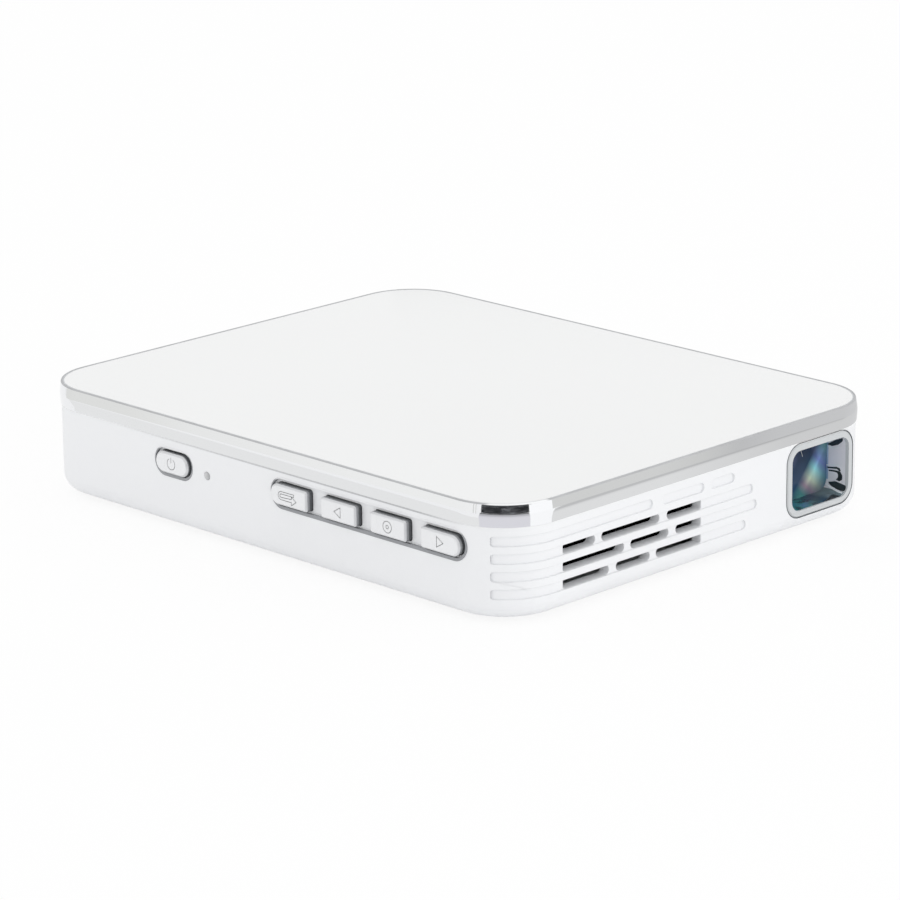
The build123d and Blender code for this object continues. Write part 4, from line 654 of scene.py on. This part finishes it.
def streaked_card(name):
    """Dark card with level streaks, like a dim room seen in the corner of the band."""
    material, tree, place = start_material(name)
    level = add(tree, "Mapping", {"Vector": place, "Scale": (0.02, 0.02, 1.0)})
    streak = add(tree, "TexNoise", {"Vector": level, "Scale": per_mm(3.4), "Detail": 2.0})
    tones = add(tree, "ValToRGB", {"Fac": streak}, stops=[(0.0, "#232426"),
        (0.52, "#2A2B2D"), (0.6, "#86888B"), (0.68, "#343538"), (1.0, "#242527")])
    return emit(material, tree, tones, 1.0)


def hide_from_all_but_gloss(piece):
    """Let only reflections see a card, so that it doesn't light the object or show behind it."""
    piece.visible_camera = False
    piece.visible_diffuse = False
    piece.visible_transmission = False
    piece.visible_volume_scatter = False
    piece.visible_shadow = False


# The band mirrors these cards. All places are in mm from the centre of the body's front left
# corner, at table height. Each row has a name, the card's outline, what its tones go by, the tones
# and the strength. A curved card goes between two bearings, in degrees from +X towards +Y, and two
# edges as (distance, height). A flat card has its corners (x, y) and its height.
curved_cards = (
    ("corner_dark", (-173.6, -90.0), ((420.0, 1.5), (420.0, 170.0)), None, None, 1.0),
    ("corner_white", (-96.4, -53.4), ((168.0, 0.5), (168.0, 60.0)), "bearing",
     ((-97.0, "#FFFFFF"), (-54.0, "#FFFFFF")), 1.12),
    ("right_grey", (-53.4, -8.0), ((170.0, 0.5), (170.0, 90.0)), "bearing",
     ((-55.0, "#DCDCDA"), (-41.0, "#DDDDDB"), (-37.8, "#D6D6D4"), (-34.6, "#C9C9C9"), (-31.3, "#D1D1D1"),
      (-8.0, "#D6D6D6")), 1.0),
    ("left_pale", (100.0, 179.6), ((190.0, 0.5), (190.0, 90.0)), "bearing",
     ((100.0, "#E9E9E6"), (117.0, "#EDEDEA"), (121.5, "#F6F6F4"), (133.0, "#FCFCFA"), (173.0, "#FFFFFE"),
      (173.4, "#DADAD8"), (174.4, "#DADAD8"), (174.8, "#FFFFFE"), (177.4, "#FFFFFE"), (177.8, "#DCDCDA"),
      (178.6, "#DCDCDA"), (179.0, "#FFFFFE")), 1.0),
    ("right_end", (-8.0, 52.0), ((170.0, 0.5), (170.0, 30.0)), "bearing",
     ((-8.0, "#D6D6D6"), (52.0, "#CECFD0")), 1.0),
    ("corner_table", (-175.5, -96.0), ((12.0, 0.35), (400.0, 0.35)), "reach",
     ((12.0, "#E6E5EA"), (61.0, "#E5E4E9"), (68.0, "#E2E1E6"), (74.0, "#DBDADF"), (86.0, "#CFCED3"),
      (120.0, "#C3C3C7"), (235.0, "#B4B4B7"), (258.0, "#3A3B3D"), (400.0, "#2A2B2D")), 1.0),
    ("corner_glow", (-97.0, -44.0), ((12.0, 0.25), (165.0, 0.25)), "reach",
     ((12.0, "#FFFFFF"), (165.0, "#FFFFFF")), 1.09),
)
flat_cards = (
    ("right_table", ((5.0, -20.6), (145.0, -162.0), (330.0, -162.0), (330.0, -20.6)), 0.45, "Y",
     ((-162.0, "#D6D6D4"), (-127.0, "#CACACA"), (-74.0, "#C9C9C9"), (-65.0, "#CCCCCC"), (-61.0, "#D2D2D2"),
      (-56.5, "#DCDCDB"), (-52.0, "#E5E5E4"), (-48.5, "#EBEBEA"), (-20.0, "#ECECEB")), 1.0),
    ("end_table", ((89.8, -20.6), (330.0, -20.6), (330.0, 160.0), (89.8, 160.0)), 0.45, "X",
     ((89.8, "#DCDCDC"), (330.0, "#D2D2D2")), 1.0),
    ("left_table", ((-62.0, -5.0), (-62.0, 300.0), (-38.0, 300.0), (-38.0, -5.0)), 0.45, "X",
     ((-62.0, "#FFFFFF"), (-60.0, "#F4F4F3"), (-38.0, "#F3F3F2")), 1.0),
)
# The right table card dims towards the lens, by the sum of its x and y: from, to and share left.
card_fades = {"right_table": (21.8, 58.5, 0.84)}


def curved_sheet(bearings, edges, steps=24):
    """Builder of a curved card between two bearings and two edges."""
    def build(bm):
        start, end = bearings
        columns = []
        for step in range(steps + 1):
            a = radians(start + (end - start) * step / steps)
            columns.append([bm.verts.new((reach * MM * cos(a), reach * MM * sin(a), z * MM))
                            for reach, z in edges])
        bridge(bm, *zip(*columns), closed=False)
    return build


def flat_sheet(corners, z):
    """Builder of a flat card with straight sides."""
    def build(bm):
        bm.faces.new([bm.verts.new((x * MM, y * MM, z * MM)) for x, y in corners])
    return build


def looking(place, aim):
    """Matrix of a lamp or camera at a place, turned to look at its aim."""
    return Matrix.Translation(place) @ (aim - place).to_track_quat("-Z", "Y").to_matrix().to_4x4()


class ProjectorStage(bpy.types.Operator):
    """Make the floor, the room light, the lamp, the reflection cards and the camera."""

    bl_idname = "projector.stage"
    bl_label = "Stage"

    def execute(self, context):
        settings = context.scene.projector_studio
        link = context.scene.collection.objects.link
        floor_reach, floor_gap = 3.0, 0.02 * MM

        def floor_square(bm):
            bmesh.ops.create_grid(bm, x_segments=2, y_segments=2, size=floor_reach)

        floor = bpy.data.objects.new("floor", mesh_from("floor", floor_square))
        floor.data.materials.append(paper_floor(settings))
        floor.location.z = -floor_gap
        link(floor)

        corner = context.scene.projector_case.corner_radius
        cards = [(curved_sheet, row) for row in curved_cards] + [(flat_sheet, row) for row in flat_cards]
        for sheet, (name, outline, edge, measure, stops, strength) in cards:
            card = bpy.data.objects.new(name, mesh_from(name, sheet(outline, edge)))
            card.location = (cad_box[0].x + corner, cad_box[0].y + corner, 0.0)
            if measure:
                finish = card_material(name, measure, stops, strength, card_fades.get(name))
            else:
                finish = streaked_card(name)
            card.data.materials.append(finish)
            link(card)
            hide_from_all_but_gloss(card)

        world = bpy.data.worlds.new("white_room")
        context.scene.world = world
        world.use_nodes = True
        tree = world.node_tree
        tree.nodes.clear()
        room = add(tree, "Background", {"Color": (1.0, 1.0, 1.0, 1.0), "Strength": settings.sky_strength})
        backdrop = add(tree, "Background", {"Color": (1.0, 1.0, 1.0, 1.0), "Strength": 1.0})
        mixed = add(tree, "MixShader", {0: white_for_camera(tree), 1: room, 2: backdrop})
        add(tree, "OutputWorld", {"Surface": mixed})

        lamp_place, lamp_width = Vector((0.25, -0.80, 0.30)), 0.6
        lamp = bpy.data.lights.new("side_lamp", "AREA")
        lamp.energy = settings.side_lamp
        lamp.shape = "DISK"
        lamp.size = lamp_width
        lamp_object = bpy.data.objects.new("side_lamp", lamp)
        link(lamp_object)
        lamp_object.matrix_world = looking(lamp_place, Vector())
        lamp_object.visible_glossy = False

        camera_place = Vector((-516.804, -517.195, 226.926)) * MM
        camera_aim = Vector((-1.94, -0.702, 10.0)) * MM
        camera_roll = radians(-0.61)
        camera = bpy.data.cameras.new("camera")
        camera.sensor_fit = "HORIZONTAL"
        camera.sensor_width = 36.0
        camera.lens = settings.focal_length
        camera.clip_start = 0.01
        camera_object = bpy.data.objects.new("camera", camera)
        camera_object.matrix_world = (looking(camera_place, camera_aim)
                                      @ Matrix.Rotation(camera_roll, 4, "Z"))
        link(camera_object)
        context.scene.camera = camera_object

        context.scene.view_settings.view_transform = "Standard"
        return {"FINISHED"}


# Outer case ---------------------------------------------------------------------------------

# Section of the band from its lower edge outwards and up, as (distance in from the body's outline,
# height below the top), in millimetres. The crease lies between two nearly flat facets.
band_section = (
    (1.30, 4.20), (0.16, 4.20), (0.105, 4.15), (0.075, 3.70), (0.05, 3.35), (0.028, 3.05), (0.012, 2.75),
    (0.003, 2.45), (0.0, 2.17), (0.004, 2.06), (0.05, 1.68), (0.11, 1.28), (0.18, 0.84), (0.245, 0.46),
    (0.275, 0.30), (0.325, 0.17), (0.38, 0.08), (0.45, 0.035), (0.52, 0.035), (0.55, 0.07), (0.55, 1.40),
    (2.45, 1.40), (2.45, 2.60), (1.30, 2.60),
)
# Bead in the seam between band and panel, with painted shade and highlight, the strip of painted shade in
# its groove, and the thin strip of painted shadow under the band, as sections in the same measure.
seal_section = ((0.60, 0.50), (0.40, 0.14), (0.32, 0.22), (0.284, 0.235), (0.312, 0.145), (0.36, 0.055),
                (0.43, 0.005), (0.52, 0.005), (0.64, 0.03), (0.68, 0.09), (0.96, 0.09), (1.0, 0.056),
                (1.04, 0.065), (1.04, 0.50))
seam_section = ((0.70, 0.30), (0.70, 0.086), (0.97, 0.086), (0.97, 0.30))
lip_shadow_section = ((0.26, 4.52), (0.26, 4.14), (0.50, 4.14), (0.50, 4.52))


def swept_ring(section, half_x, half_y, top_z, radius, steps):
    """Builder of a ring: a section swept round the body's outline."""
    def build(bm):
        loops = []
        for inset, drop in section:
            d = inset * MM
            ring = round_outline(half_x - d, half_y - d, radius - d, steps)
            loops.append([bm.verts.new((x, y, top_z - drop * MM)) for x, y in ring])
        for lower, upper in zip(loops, loops[1:] + loops[:1]):
            bridge(bm, lower, upper)
    return build


class ProjectorBand(bpy.types.Operator):
    """Build the bright edge band with smooth facets."""

    bl_idname = "projector.band"
    bl_label = "Edge band"

    def execute(self, context):
        settings = context.scene.projector_case
        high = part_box("chrome_band")[1]
        around = (high.x, high.y, high.z, settings.corner_radius, settings.corner_steps)
        chrome = bright_plated_abs("bright_plated_abs", settings.plate_colour, settings.band_roughness)
        band = place_piece("edge_band", swept_ring(band_section, *around), chrome, "case",
                           "bright_trim", 24)
        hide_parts("chrome_band")
        rings = (
            # The seal's grey is painted shade of the seam, and its white corner a painted highlight.
            ("panel_seal", seal_section, seam_shade_bead("seam_shade_and_lip_highlight", settings.seam_shade_colour)),
            # The seam strip's grey is painted shade in the bead's groove.
            ("panel_seam", seam_section, moulded_rubber("painted_groove_shade", linear("#A6A8AA"))),
            # The strip under the band carries a painted shadow of the lip.
            ("band_lip_shadow", lip_shadow_section, lip_shadow_line("painted_lip_shadow")),
        )
        for name, section, finish in rings:
            place_piece(name, swept_ring(section, *around), finish, "case", "grey_plastic", 40)
        return {"FINISHED"}


class ProjectorCase(bpy.types.Operator):
    """Give the shell, the top panel, the feet and the tripod insert their finishes."""

    bl_idname = "projector.case"
    bl_label = "Case finishes"

    def execute(self, context):
        settings = context.scene.projector_case
        finish_node("bottom_housing", spark_textured_abs("spark_textured_white_abs", settings.shell_colour))
        finish_node("top_panel", lacquered_abs("lacquered_white_abs", settings.panel_colour))
        finish_node("rubber_feet", moulded_rubber("moulded_rubber"))
        finish_node("tripod_insert", turned_brass("turned_brass"))
        return {"FINISHED"}


# Keys ---------------------------------------------------------------------------------------


def strip(bm, points, width, x, thick, closed=False):
    """Flat line of a given width through points (y, z) on the plane x, and thick towards -X."""
    sharpest = 0.35  # a mitre isn't drawn out further than this allows
    count = len(points)
    sides = []
    for i, (y, z) in enumerate(points):
        before = points[i - 1] if closed or i > 0 else None
        after = points[(i + 1) % count] if closed or i < count - 1 else None
        ins = Vector((y - before[0], z - before[1])).normalized() if before else None
        out = Vector((after[0] - y, after[1] - z)).normalized() if after else None
        ins = ins or out
        out = out or ins
        along = (ins + out).normalized()
        across = Vector((-along.y, along.x))
        reach = width / 2 / max(sharpest, across.dot(Vector((-out.y, out.x))))
        sides.append([Vector((x, y, z)) + sign * reach * Vector((0, across.x, across.y))
                      for sign in (-1, 1)])
    rows = []
    for left, right in sides:
        rows.append([bm.verts.new(p + Vector((dx, 0, 0))) for p, dx in
                     ((left, 0.0), (right, 0.0), (right, -thick), (left, -thick))])
    for one, two in zip(rows, rows[1:] + rows[:1] if closed else rows[1:]):
        bridge(bm, one, two)
    if not closed:
        bm.faces.new(rows[0])
        bm.faces.new(rows[-1][::-1])


def arc_points(radius, start, end, steps, centre=(0.0, 0.0)):
    """Points on an arc, angles in degrees."""
    angles = [radians(start + (end - start) * i / steps) for i in range(steps + 1)]
    return [(centre[0] + radius * cos(a), centre[1] + radius * sin(a)) for a in angles]


def power_mark(size):
    """Open ring with a bar at its top."""
    r = size / 2
    return [(arc_points(r, 120, 420, 28), False), ([(0.0, 0.1 * size), (0.0, 0.62 * size)], False)]


def return_mark(size):
    """Outlined arrow that loops back."""
    r = size * 0.36
    wide = size * 0.82
    loop = arc_points(r, 90, 270, 12, (-wide, 0.0))
    tip = [(wide * 0.55, -r), (wide * 0.55, -r * 1.75), (wide * 1.25, -r * 0.62), (wide * 0.55, r * 0.35),
           (wide * 0.55, -r * 0.25)]
    inner = arc_points(r * 0.42, 270, 90, 10, (-wide, 0.0))
    outline = [(wide * 0.9, r)] + loop + tip + inner + [(wide * 0.9, r * 0.42)]
    return [(outline, True)]


def triangle_mark(size, sign):
    """Outlined triangle that points along the body."""
    h = size / 2
    return [([(sign * h * 0.85, 0.0), (-sign * h * 0.65, h * 0.9), (-sign * h * 0.65, -h * 0.9)], True)]


def ok_mark(size):
    """Ring with a dot in it."""
    r = size / 2
    return [(arc_points(r, 0, 360, 36)[:-1], True), (arc_points(r * 0.3, 0, 360, 16)[:-1], True)]


class ProjectorKeys(bpy.types.Operator):
    """Give the keys and trims their finish and draw the marks on the keys."""

    bl_idname = "projector.keys"
    bl_label = "Keys"

    def execute(self, context):
        settings = context.scene.projector_keys
        # Depths below a trim's top where its painted shade fades, and the light guide's hidden flange.
        fade_low, fade_high = 0.9 * MM, 0.2 * MM
        guide_flange, mark_sink = 0.7 * MM, 0.01 * MM
        wall_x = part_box("key_surround")[0].x
        ink = etched_ink("etched_grey_ink", settings.mark_colour)
        row = pearl_lacquered_keys("pearl_lacquered_keys", settings.key_colour,
                                   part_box("ok_key")[0].x, wall_x)
        for name in ("return_key", "previous_key", "ok_key", "next_key"):
            finish_node(name, row)
        finish_node("power_button", pearl_lacquered_keys("pearl_lacquered_button", settings.key_colour,
                                                         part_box("power_button")[0].x, wall_x))
        # The trims' grey is painted shade of the gap round the keys.
        for name in ("key_surround", "power_surround"):
            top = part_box(name)[1].z
            finish_node(name, shade_painted_trim("shade_painted_" + name, top - fade_low, top - fade_high))
        # The light guide's end gets painted light: bright at its back, dim at its front.
        low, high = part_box("status_light")
        painted_light_side = (low.y + guide_flange, high.y - guide_flange)
        finish_node("status_light", clear_polycarbonate("clear_polycarbonate", painted_light_side))
        size = settings.mark_size
        marks = {
            "power_button": ("power_press", power_mark(size)),
            "return_key": ("return_press", return_mark(size)),
            "previous_key": ("previous_press", triangle_mark(size, -1)),
            "ok_key": ("ok_press", ok_mark(size)),
            "next_key": ("next_press", triangle_mark(size, 1)),
        }
        for key, (body, lines) in marks.items():
            low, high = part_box(key)
            middle = ((low.y + high.y) / 2, (low.z + high.z) / 2)

            def build(bm):
                for points, closed in lines:
                    placed = [(middle[0] - u, middle[1] + v) for u, v in points]
                    strip(bm, placed, settings.mark_line, low.x + mark_sink, mark_sink, closed)

            place_piece(key + "_mark", build, ink, body, "satin_key")
        return {"FINISHED"}


# Lens window --------------------------------------------------------------------------------


# Details inside the window's tube, in millimetres. The dark slots, grooves and wedge are painted shade and
# dark reflections, and the pale rims and glint are painted highlights. Slots and the rim under them go
# round its corners, grooves and rims are (y, z) on its far wall, and the rest (x, y) on its floor or (x, z)
# on the cover glass.
wall_slot_shades = (
    ((40.11, -56.73, 13.31), (40.11, -57.68, 13.86), (40.05, -58.69, 14.44), (39.82, -59.92, 15.0),
     (39.45, -61.0, 15.4), (39.78, -60.8, 15.07), (40.02, -60.41, 14.55), (40.11, -59.84, 14.12),
     (40.11, -59.33, 13.71), (40.11, -58.63, 13.46), (40.11, -57.93, 13.21), (40.11, -57.33, 13.26)),
    ((40.0, -57.32, 6.21), (40.06, -58.07, 6.41), (40.1, -58.84, 6.62), (40.08, -59.7, 6.53),
     (40.06, -60.57, 6.44), (40.03, -61.4, 6.3), (39.88, -61.55, 5.91), (39.66, -61.55, 5.55),
     (39.5, -61.4, 5.38), (39.46, -60.82, 5.33), (39.49, -60.04, 5.36), (39.62, -59.14, 5.51),
     (39.74, -58.24, 5.66), (39.83, -57.86, 5.83), (39.92, -57.49, 5.99)),
)
wall_groove_shades = (
    ((-56.88, 9.06), (-57.79, 9.19), (-59.06, 9.44), (-59.82, 9.31), (-60.07, 8.84), (-59.71, 8.73),
     (-59.25, 9.05), (-57.79, 8.9), (-56.88, 8.78)),
    ((-57.22, 8.54), (-58.34, 8.7), (-59.35, 8.73), (-59.95, 8.71), (-60.45, 8.01), (-60.42, 7.23),
     (-59.75, 6.8), (-58.97, 6.93), (-59.43, 7.5), (-59.45, 8.09), (-59.17, 8.36), (-58.17, 8.37),
     (-57.22, 8.28)),
)
slab_glint = ((39.84, -57.1, 5.87), (39.62, -58.34, 5.53), (39.35, -60.16, 5.24), (39.26, -61.4, 5.16))
wall_glints = (
    ((-57.0, 12.95), (-58.6, 12.85), (-59.6, 13.35)),
    ((-56.7, 9.33), (-57.6, 9.52), (-59.6, 9.86)),
)
bead_line = ((-56.85, 5.85), (-56.85, 15.4))
floor_wedge_shade = ((33.6, -61.55), (38.5, -59.7), (39.4, -60.6), (38.9, -61.55))
glass_glint = ((32.0, 14.9), (32.35, 13.9), (32.75, 12.9), (33.1, 11.7), (33.4, 10.5))


def prism(bm, points, lift):
    """Flat plate through points, thickened by a vector."""
    base = [bm.verts.new(point) for point in points]
    top = [bm.verts.new(point + lift) for point in points]
    bm.faces.new(base)
    bm.faces.new(top[::-1])
    bridge(bm, base, top)


def domed_pane(centre, half_x, half_z, radius, back_y, thick, dome, steps=10, rings=10):
    """Builder of a window pane with a flat back and a gently domed front towards -Y."""
    def build(bm):
        outline = round_outline(half_x, half_z, radius, steps)
        loops = [[bm.verts.new((centre[0] + x, back_y, centre[1] + z)) for x, z in outline]]
        for ring in range(rings):
            share = 1 - ring / rings
            y = back_y - thick - dome * (1 - share * share)
            loops.append([bm.verts.new((centre[0] + share * x, y, centre[1] + share * z))
                          for x, z in outline])
        bm.faces.new(loops[0])
        for outer, inner in zip(loops, loops[1:]):
            bridge(bm, outer, inner)
        bm.faces.new(loops[-1])
    return build


class ProjectorLens(bpy.types.Operator):
    """Give the lens window, the glass and the lens group their finishes."""

    bl_idname = "projector.lens"
    bl_label = "Lens window"

    def execute(self, context):
        settings = context.scene.projector_lens
        glass = coated_glass("coated_optical_glass", settings.glass_colour, settings.coating_colour)
        dark = glass_filled_nylon("glass_filled_nylon_dark", linear("#17181A"), 0.45)
        finish_node("lens_bezel", sprayed_silver("sprayed_silver_bezel", linear("#D3D6D8")))
        finish_node("lens_hood", sprayed_silver("sprayed_silver_tube", settings.tube_colour))
        finish_node("front_lens", glass)
        finish_node("rear_lens", glass)
        for name in ("lens_barrel", "lens_ring"):
            finish_node(name, dark)
        finish_node("lens_mount", glass_filled_nylon("glass_filled_nylon_grey", linear("#4A4C50")))
        finish_node("focus_wheel", spark_textured_abs("spark_textured_grey_abs", linear("#8D9095")))
        for name in ("focus_axle", "focus_clip"):
            finish_node(name, drawn_metal("drawn_steel_" + name, linear("#C4C6CA"), 0.25, along="Z"))

        # The hood's wall and its step for the glass are the CAD's; the rest are the fine parts' own.
        wall, back_step, fit = 0.7 * MM, 0.8 * MM, 0.02 * MM
        pane_corner, pane_thick, pane_dome = 2.18 * MM, 0.08 * MM, 0.35 * MM
        inlay, glint_line_width, bead_width = 0.03 * MM, 0.2 * MM, 0.45 * MM
        liner_bend, liner_front, liner_outer, liner_inner = 2.2 * MM, -61.5 * MM, 0.01 * MM, 0.07 * MM
        glint_shift, glint_ahead, glint_width, glint_thick = 0.05 * MM, 0.4 * MM, 0.12 * MM, 0.1 * MM
        slab_drop = Vector((-0.26, 0, -0.2))
        bezel_corner, gap_front, gap_back = 3.45 * MM, 0.16 * MM, 0.3 * MM

        hood_low, hood_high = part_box("lens_hood")
        wall_x = hood_high.x - wall
        floor_z = hood_low.z + wall
        middle = ((hood_low.x + hood_high.x) / 2, (hood_low.z + hood_high.z) / 2)
        plate_y = hood_high.y - back_step
        pane = domed_pane(middle, wall_x - middle[0] - fit, middle[1] - floor_z - fit, pane_corner,
                          plate_y - fit, pane_thick, pane_dome)

        # Dark plates on the tube's walls and floor: painted shade and dark reflections.
        def painted_shade_inlays(bm):
            for points in wall_slot_shades:
                prism(bm, [Vector(point) * MM for point in points], Vector((-inlay, 0, inlay)))
            for points in wall_groove_shades:
                prism(bm, [Vector((wall_x, y * MM, z * MM)) for y, z in points], Vector((-inlay, 0, 0)))
            prism(bm, [Vector((x * MM, y * MM, floor_z)) for x, y in floor_wedge_shade],
                  Vector((0, 0, 3 * inlay)))

        # Pale strips on the tube's wall: painted highlights along its rims.
        def painted_glint_inlays(bm):
            for points in wall_glints:
                strip(bm, [(y * MM, z * MM) for y, z in points], glint_line_width, wall_x, 1.5 * inlay)
            upper = [Vector(point) * MM for point in slab_glint]
            lower = [point + slab_drop * MM for point in reversed(upper)]
            prism(bm, upper + lower, Vector((-2 * inlay, 0, 2 * inlay)))

        def glass_edges(bm):
            strip(bm, [(y * MM, z * MM) for y, z in bead_line], bead_width, wall_x, 0.5 * inlay)

        def floor_liner(bm):
            bend = liner_bend
            left, right, low = middle[0] - (wall_x - middle[0]) + bend, wall_x - bend, floor_z + bend
            turns = [(left, radians(180 + 10 * step)) for step in range(10)]
            turns += [(right, radians(270 + 10 * step)) for step in range(5)]
            rows = []
            for reach in (bend - liner_outer, bend - liner_inner):
                line = [(x + reach * cos(a), low + reach * sin(a)) for x, a in turns]
                rows += [[bm.verts.new((x, y, z)) for x, z in line] for y in (liner_front, plate_y - fit)]
            outer_front, outer_back, inner_front, inner_back = rows
            for one, two in ((outer_front, outer_back), (outer_back, inner_back),
                             (inner_back, inner_front), (inner_front, outer_front)):
                bridge(bm, one, two, closed=False)
            for end in (0, -1):
                bm.faces.new((outer_front[end], outer_back[end], inner_back[end], inner_front[end]))

        # Pale arc on the cover glass: a painted highlight of the lens rim.
        def glint_arc(bm):
            left = [Vector((x * MM - glint_shift, plate_y - glint_ahead, z * MM)) for x, z in glass_glint]
            right = [p + Vector((glint_width, 0, 0)) for p in reversed(left)]
            prism(bm, left + right, Vector((0, glint_thick, 0)))

        bezel_low, bezel_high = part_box("lens_bezel")
        reach_x = (bezel_high.x - bezel_low.x) / 2
        reach_z = (bezel_high.z - bezel_low.z) / 2
        line = settings.bezel_line

        # Dark ring round the bezel: painted shadow in its gap.
        def bezel_gap(bm):
            loops = []
            for grow, y in ((0.0, gap_front), (line, gap_front), (line, gap_back), (0.0, gap_back)):
                outline = round_outline(reach_x + grow, reach_z + grow, bezel_corner + grow, 10)
                loops.append([bm.verts.new((middle[0] + x, bezel_low.y + y, middle[1] + z))
                              for x, z in outline])
            for one, two in zip(loops, loops[1:] + loops[:1]):
                bridge(bm, one, two)

        details = (
            ("cover_glass", pane, multicoated_pane("multicoated_glass", settings.pane_colour,
                                                   settings.glass_colour), "lens_glass"),
            ("tube_painted_shades", painted_shade_inlays, glass_filled_nylon("painted_shade_plates",
                                                           linear("#1D2429"), 0.35), "black_plastic"),
            ("tube_painted_glints", painted_glint_inlays, sprayed_silver("painted_glint_white", linear("#F4F9FC")),
             "bright_trim"),
            ("tube_bead", glass_edges, reflection_painted_bead("painted_glass_reflection_bead"), "lens_glass"),
            ("tube_floor", floor_liner, reflection_painted_liner("painted_floor_reflection"), "dark_gloss"),
            ("glass_painted_glint", glint_arc, clear_polycarbonate("painted_glint_strip"), "clear_guide"),
            ("bezel_gap_shadow", bezel_gap, moulded_rubber("painted_gap_shadow", linear("#4A4D51")),
             "rubber", 40),
        )
        for name, build, finish, slot, *crease in details:
            place_piece(name, build, finish, "case", slot, *crease)
        return {"FINISHED"}


# Inner works --------------------------------------------------------------------------------


class ProjectorWorks(bpy.types.Operator):
    """Give the light engine, blower, boards, battery, speaker and sockets their finishes."""

    bl_idname = "projector.works"
    bl_label = "Inner works"

    def execute(self, context):
        works = (
            (die_cast_metal("die_cast_magnesium"), "light_engine engine_cover"),
            (masked_board("masked_glass_epoxy"),
             "blue_lamp red_green_lamp chip_board main_board key_board wifi_antenna"),
            (drawn_metal("rolled_aluminium", linear("#D4D6DA"), 0.3), "heat_spreader chip_cooler"),
            (drawn_metal("black_anodised_aluminium", linear("#1B1C1E"), 0.42), "fin_stack"),
            (drawn_metal("drawn_copper", linear("#D89A73"), 0.25, along="Y"), "heat_pipe"),
            (glass_filled_nylon("glass_filled_nylon_black"),
             "fan_housing fan_cover fan_rotor speaker_box battery_tray sound_socket"),
            (drawn_metal("rolled_steel", linear("#C2C4C8"), 0.28),
             "fan_shaft shield_can power_socket video_socket data_socket key_switches case_screws "
             "board_screws"),
            (turned_brass("turned_brass_bearing"), "fan_bearing"),
            (wound_copper("wound_copper"), "fan_coil"),
            (pouch_foil("pouch_foil"), "battery_pack"),
            (glass_filled_nylon("glass_filled_nylon_speaker", linear("#202123"), 0.6), "speaker"),
            (filter_acrylic("filter_acrylic"), "receiver_window"),
        )
        for finish, names in works:
            for name in names.split():
                finish_node(name, finish)
        return {"FINISHED"}


# Panel and registration ---------------------------------------------------------------------

operators = (ProjectorStage, ProjectorCase, ProjectorBand, ProjectorKeys, ProjectorLens, ProjectorWorks)
groups = {
    "projector_studio": StudioSettings,
    "projector_case": CaseSettings,
    "projector_keys": KeySettings,
    "projector_lens": LensSettings,
}


class ProjectorPanel(bpy.types.Panel):
    """Sidebar panel with the settings and one button for each group of pieces."""

    bl_idname = "VIEW3D_PT_projector"
    bl_label = "Pocket projector"
    bl_space_type = "VIEW_3D"
    bl_region_type = "UI"
    bl_category = "Projector"

    def draw(self, context):
        for name in groups:
            box = self.layout.box()
            settings = getattr(context.scene, name)
            for key in settings.__annotations__:
                box.prop(settings, key)
        for operator in operators:
            self.layout.operator(operator.bl_idname)


def register():
    """Register the settings, the operators and the panel."""
    for name, group in groups.items():
        bpy.utils.register_class(group)
        setattr(bpy.types.Scene, name, PointerProperty(type=group))
    for operator in operators:
        bpy.utils.register_class(operator)
    bpy.utils.register_class(ProjectorPanel)


def unregister():
    """Undo register."""
    bpy.utils.unregister_class(ProjectorPanel)
    for operator in reversed(operators):
        bpy.utils.unregister_class(operator)
    for name, group in groups.items():
        delattr(bpy.types.Scene, name)
        bpy.utils.unregister_class(group)


def main():
    """Register the add-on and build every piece."""
    register()
    for operator in operators:
        family, call = operator.bl_idname.split(".")
        getattr(getattr(bpy.ops, family), call)()


if __name__ == "__main__":
    main()
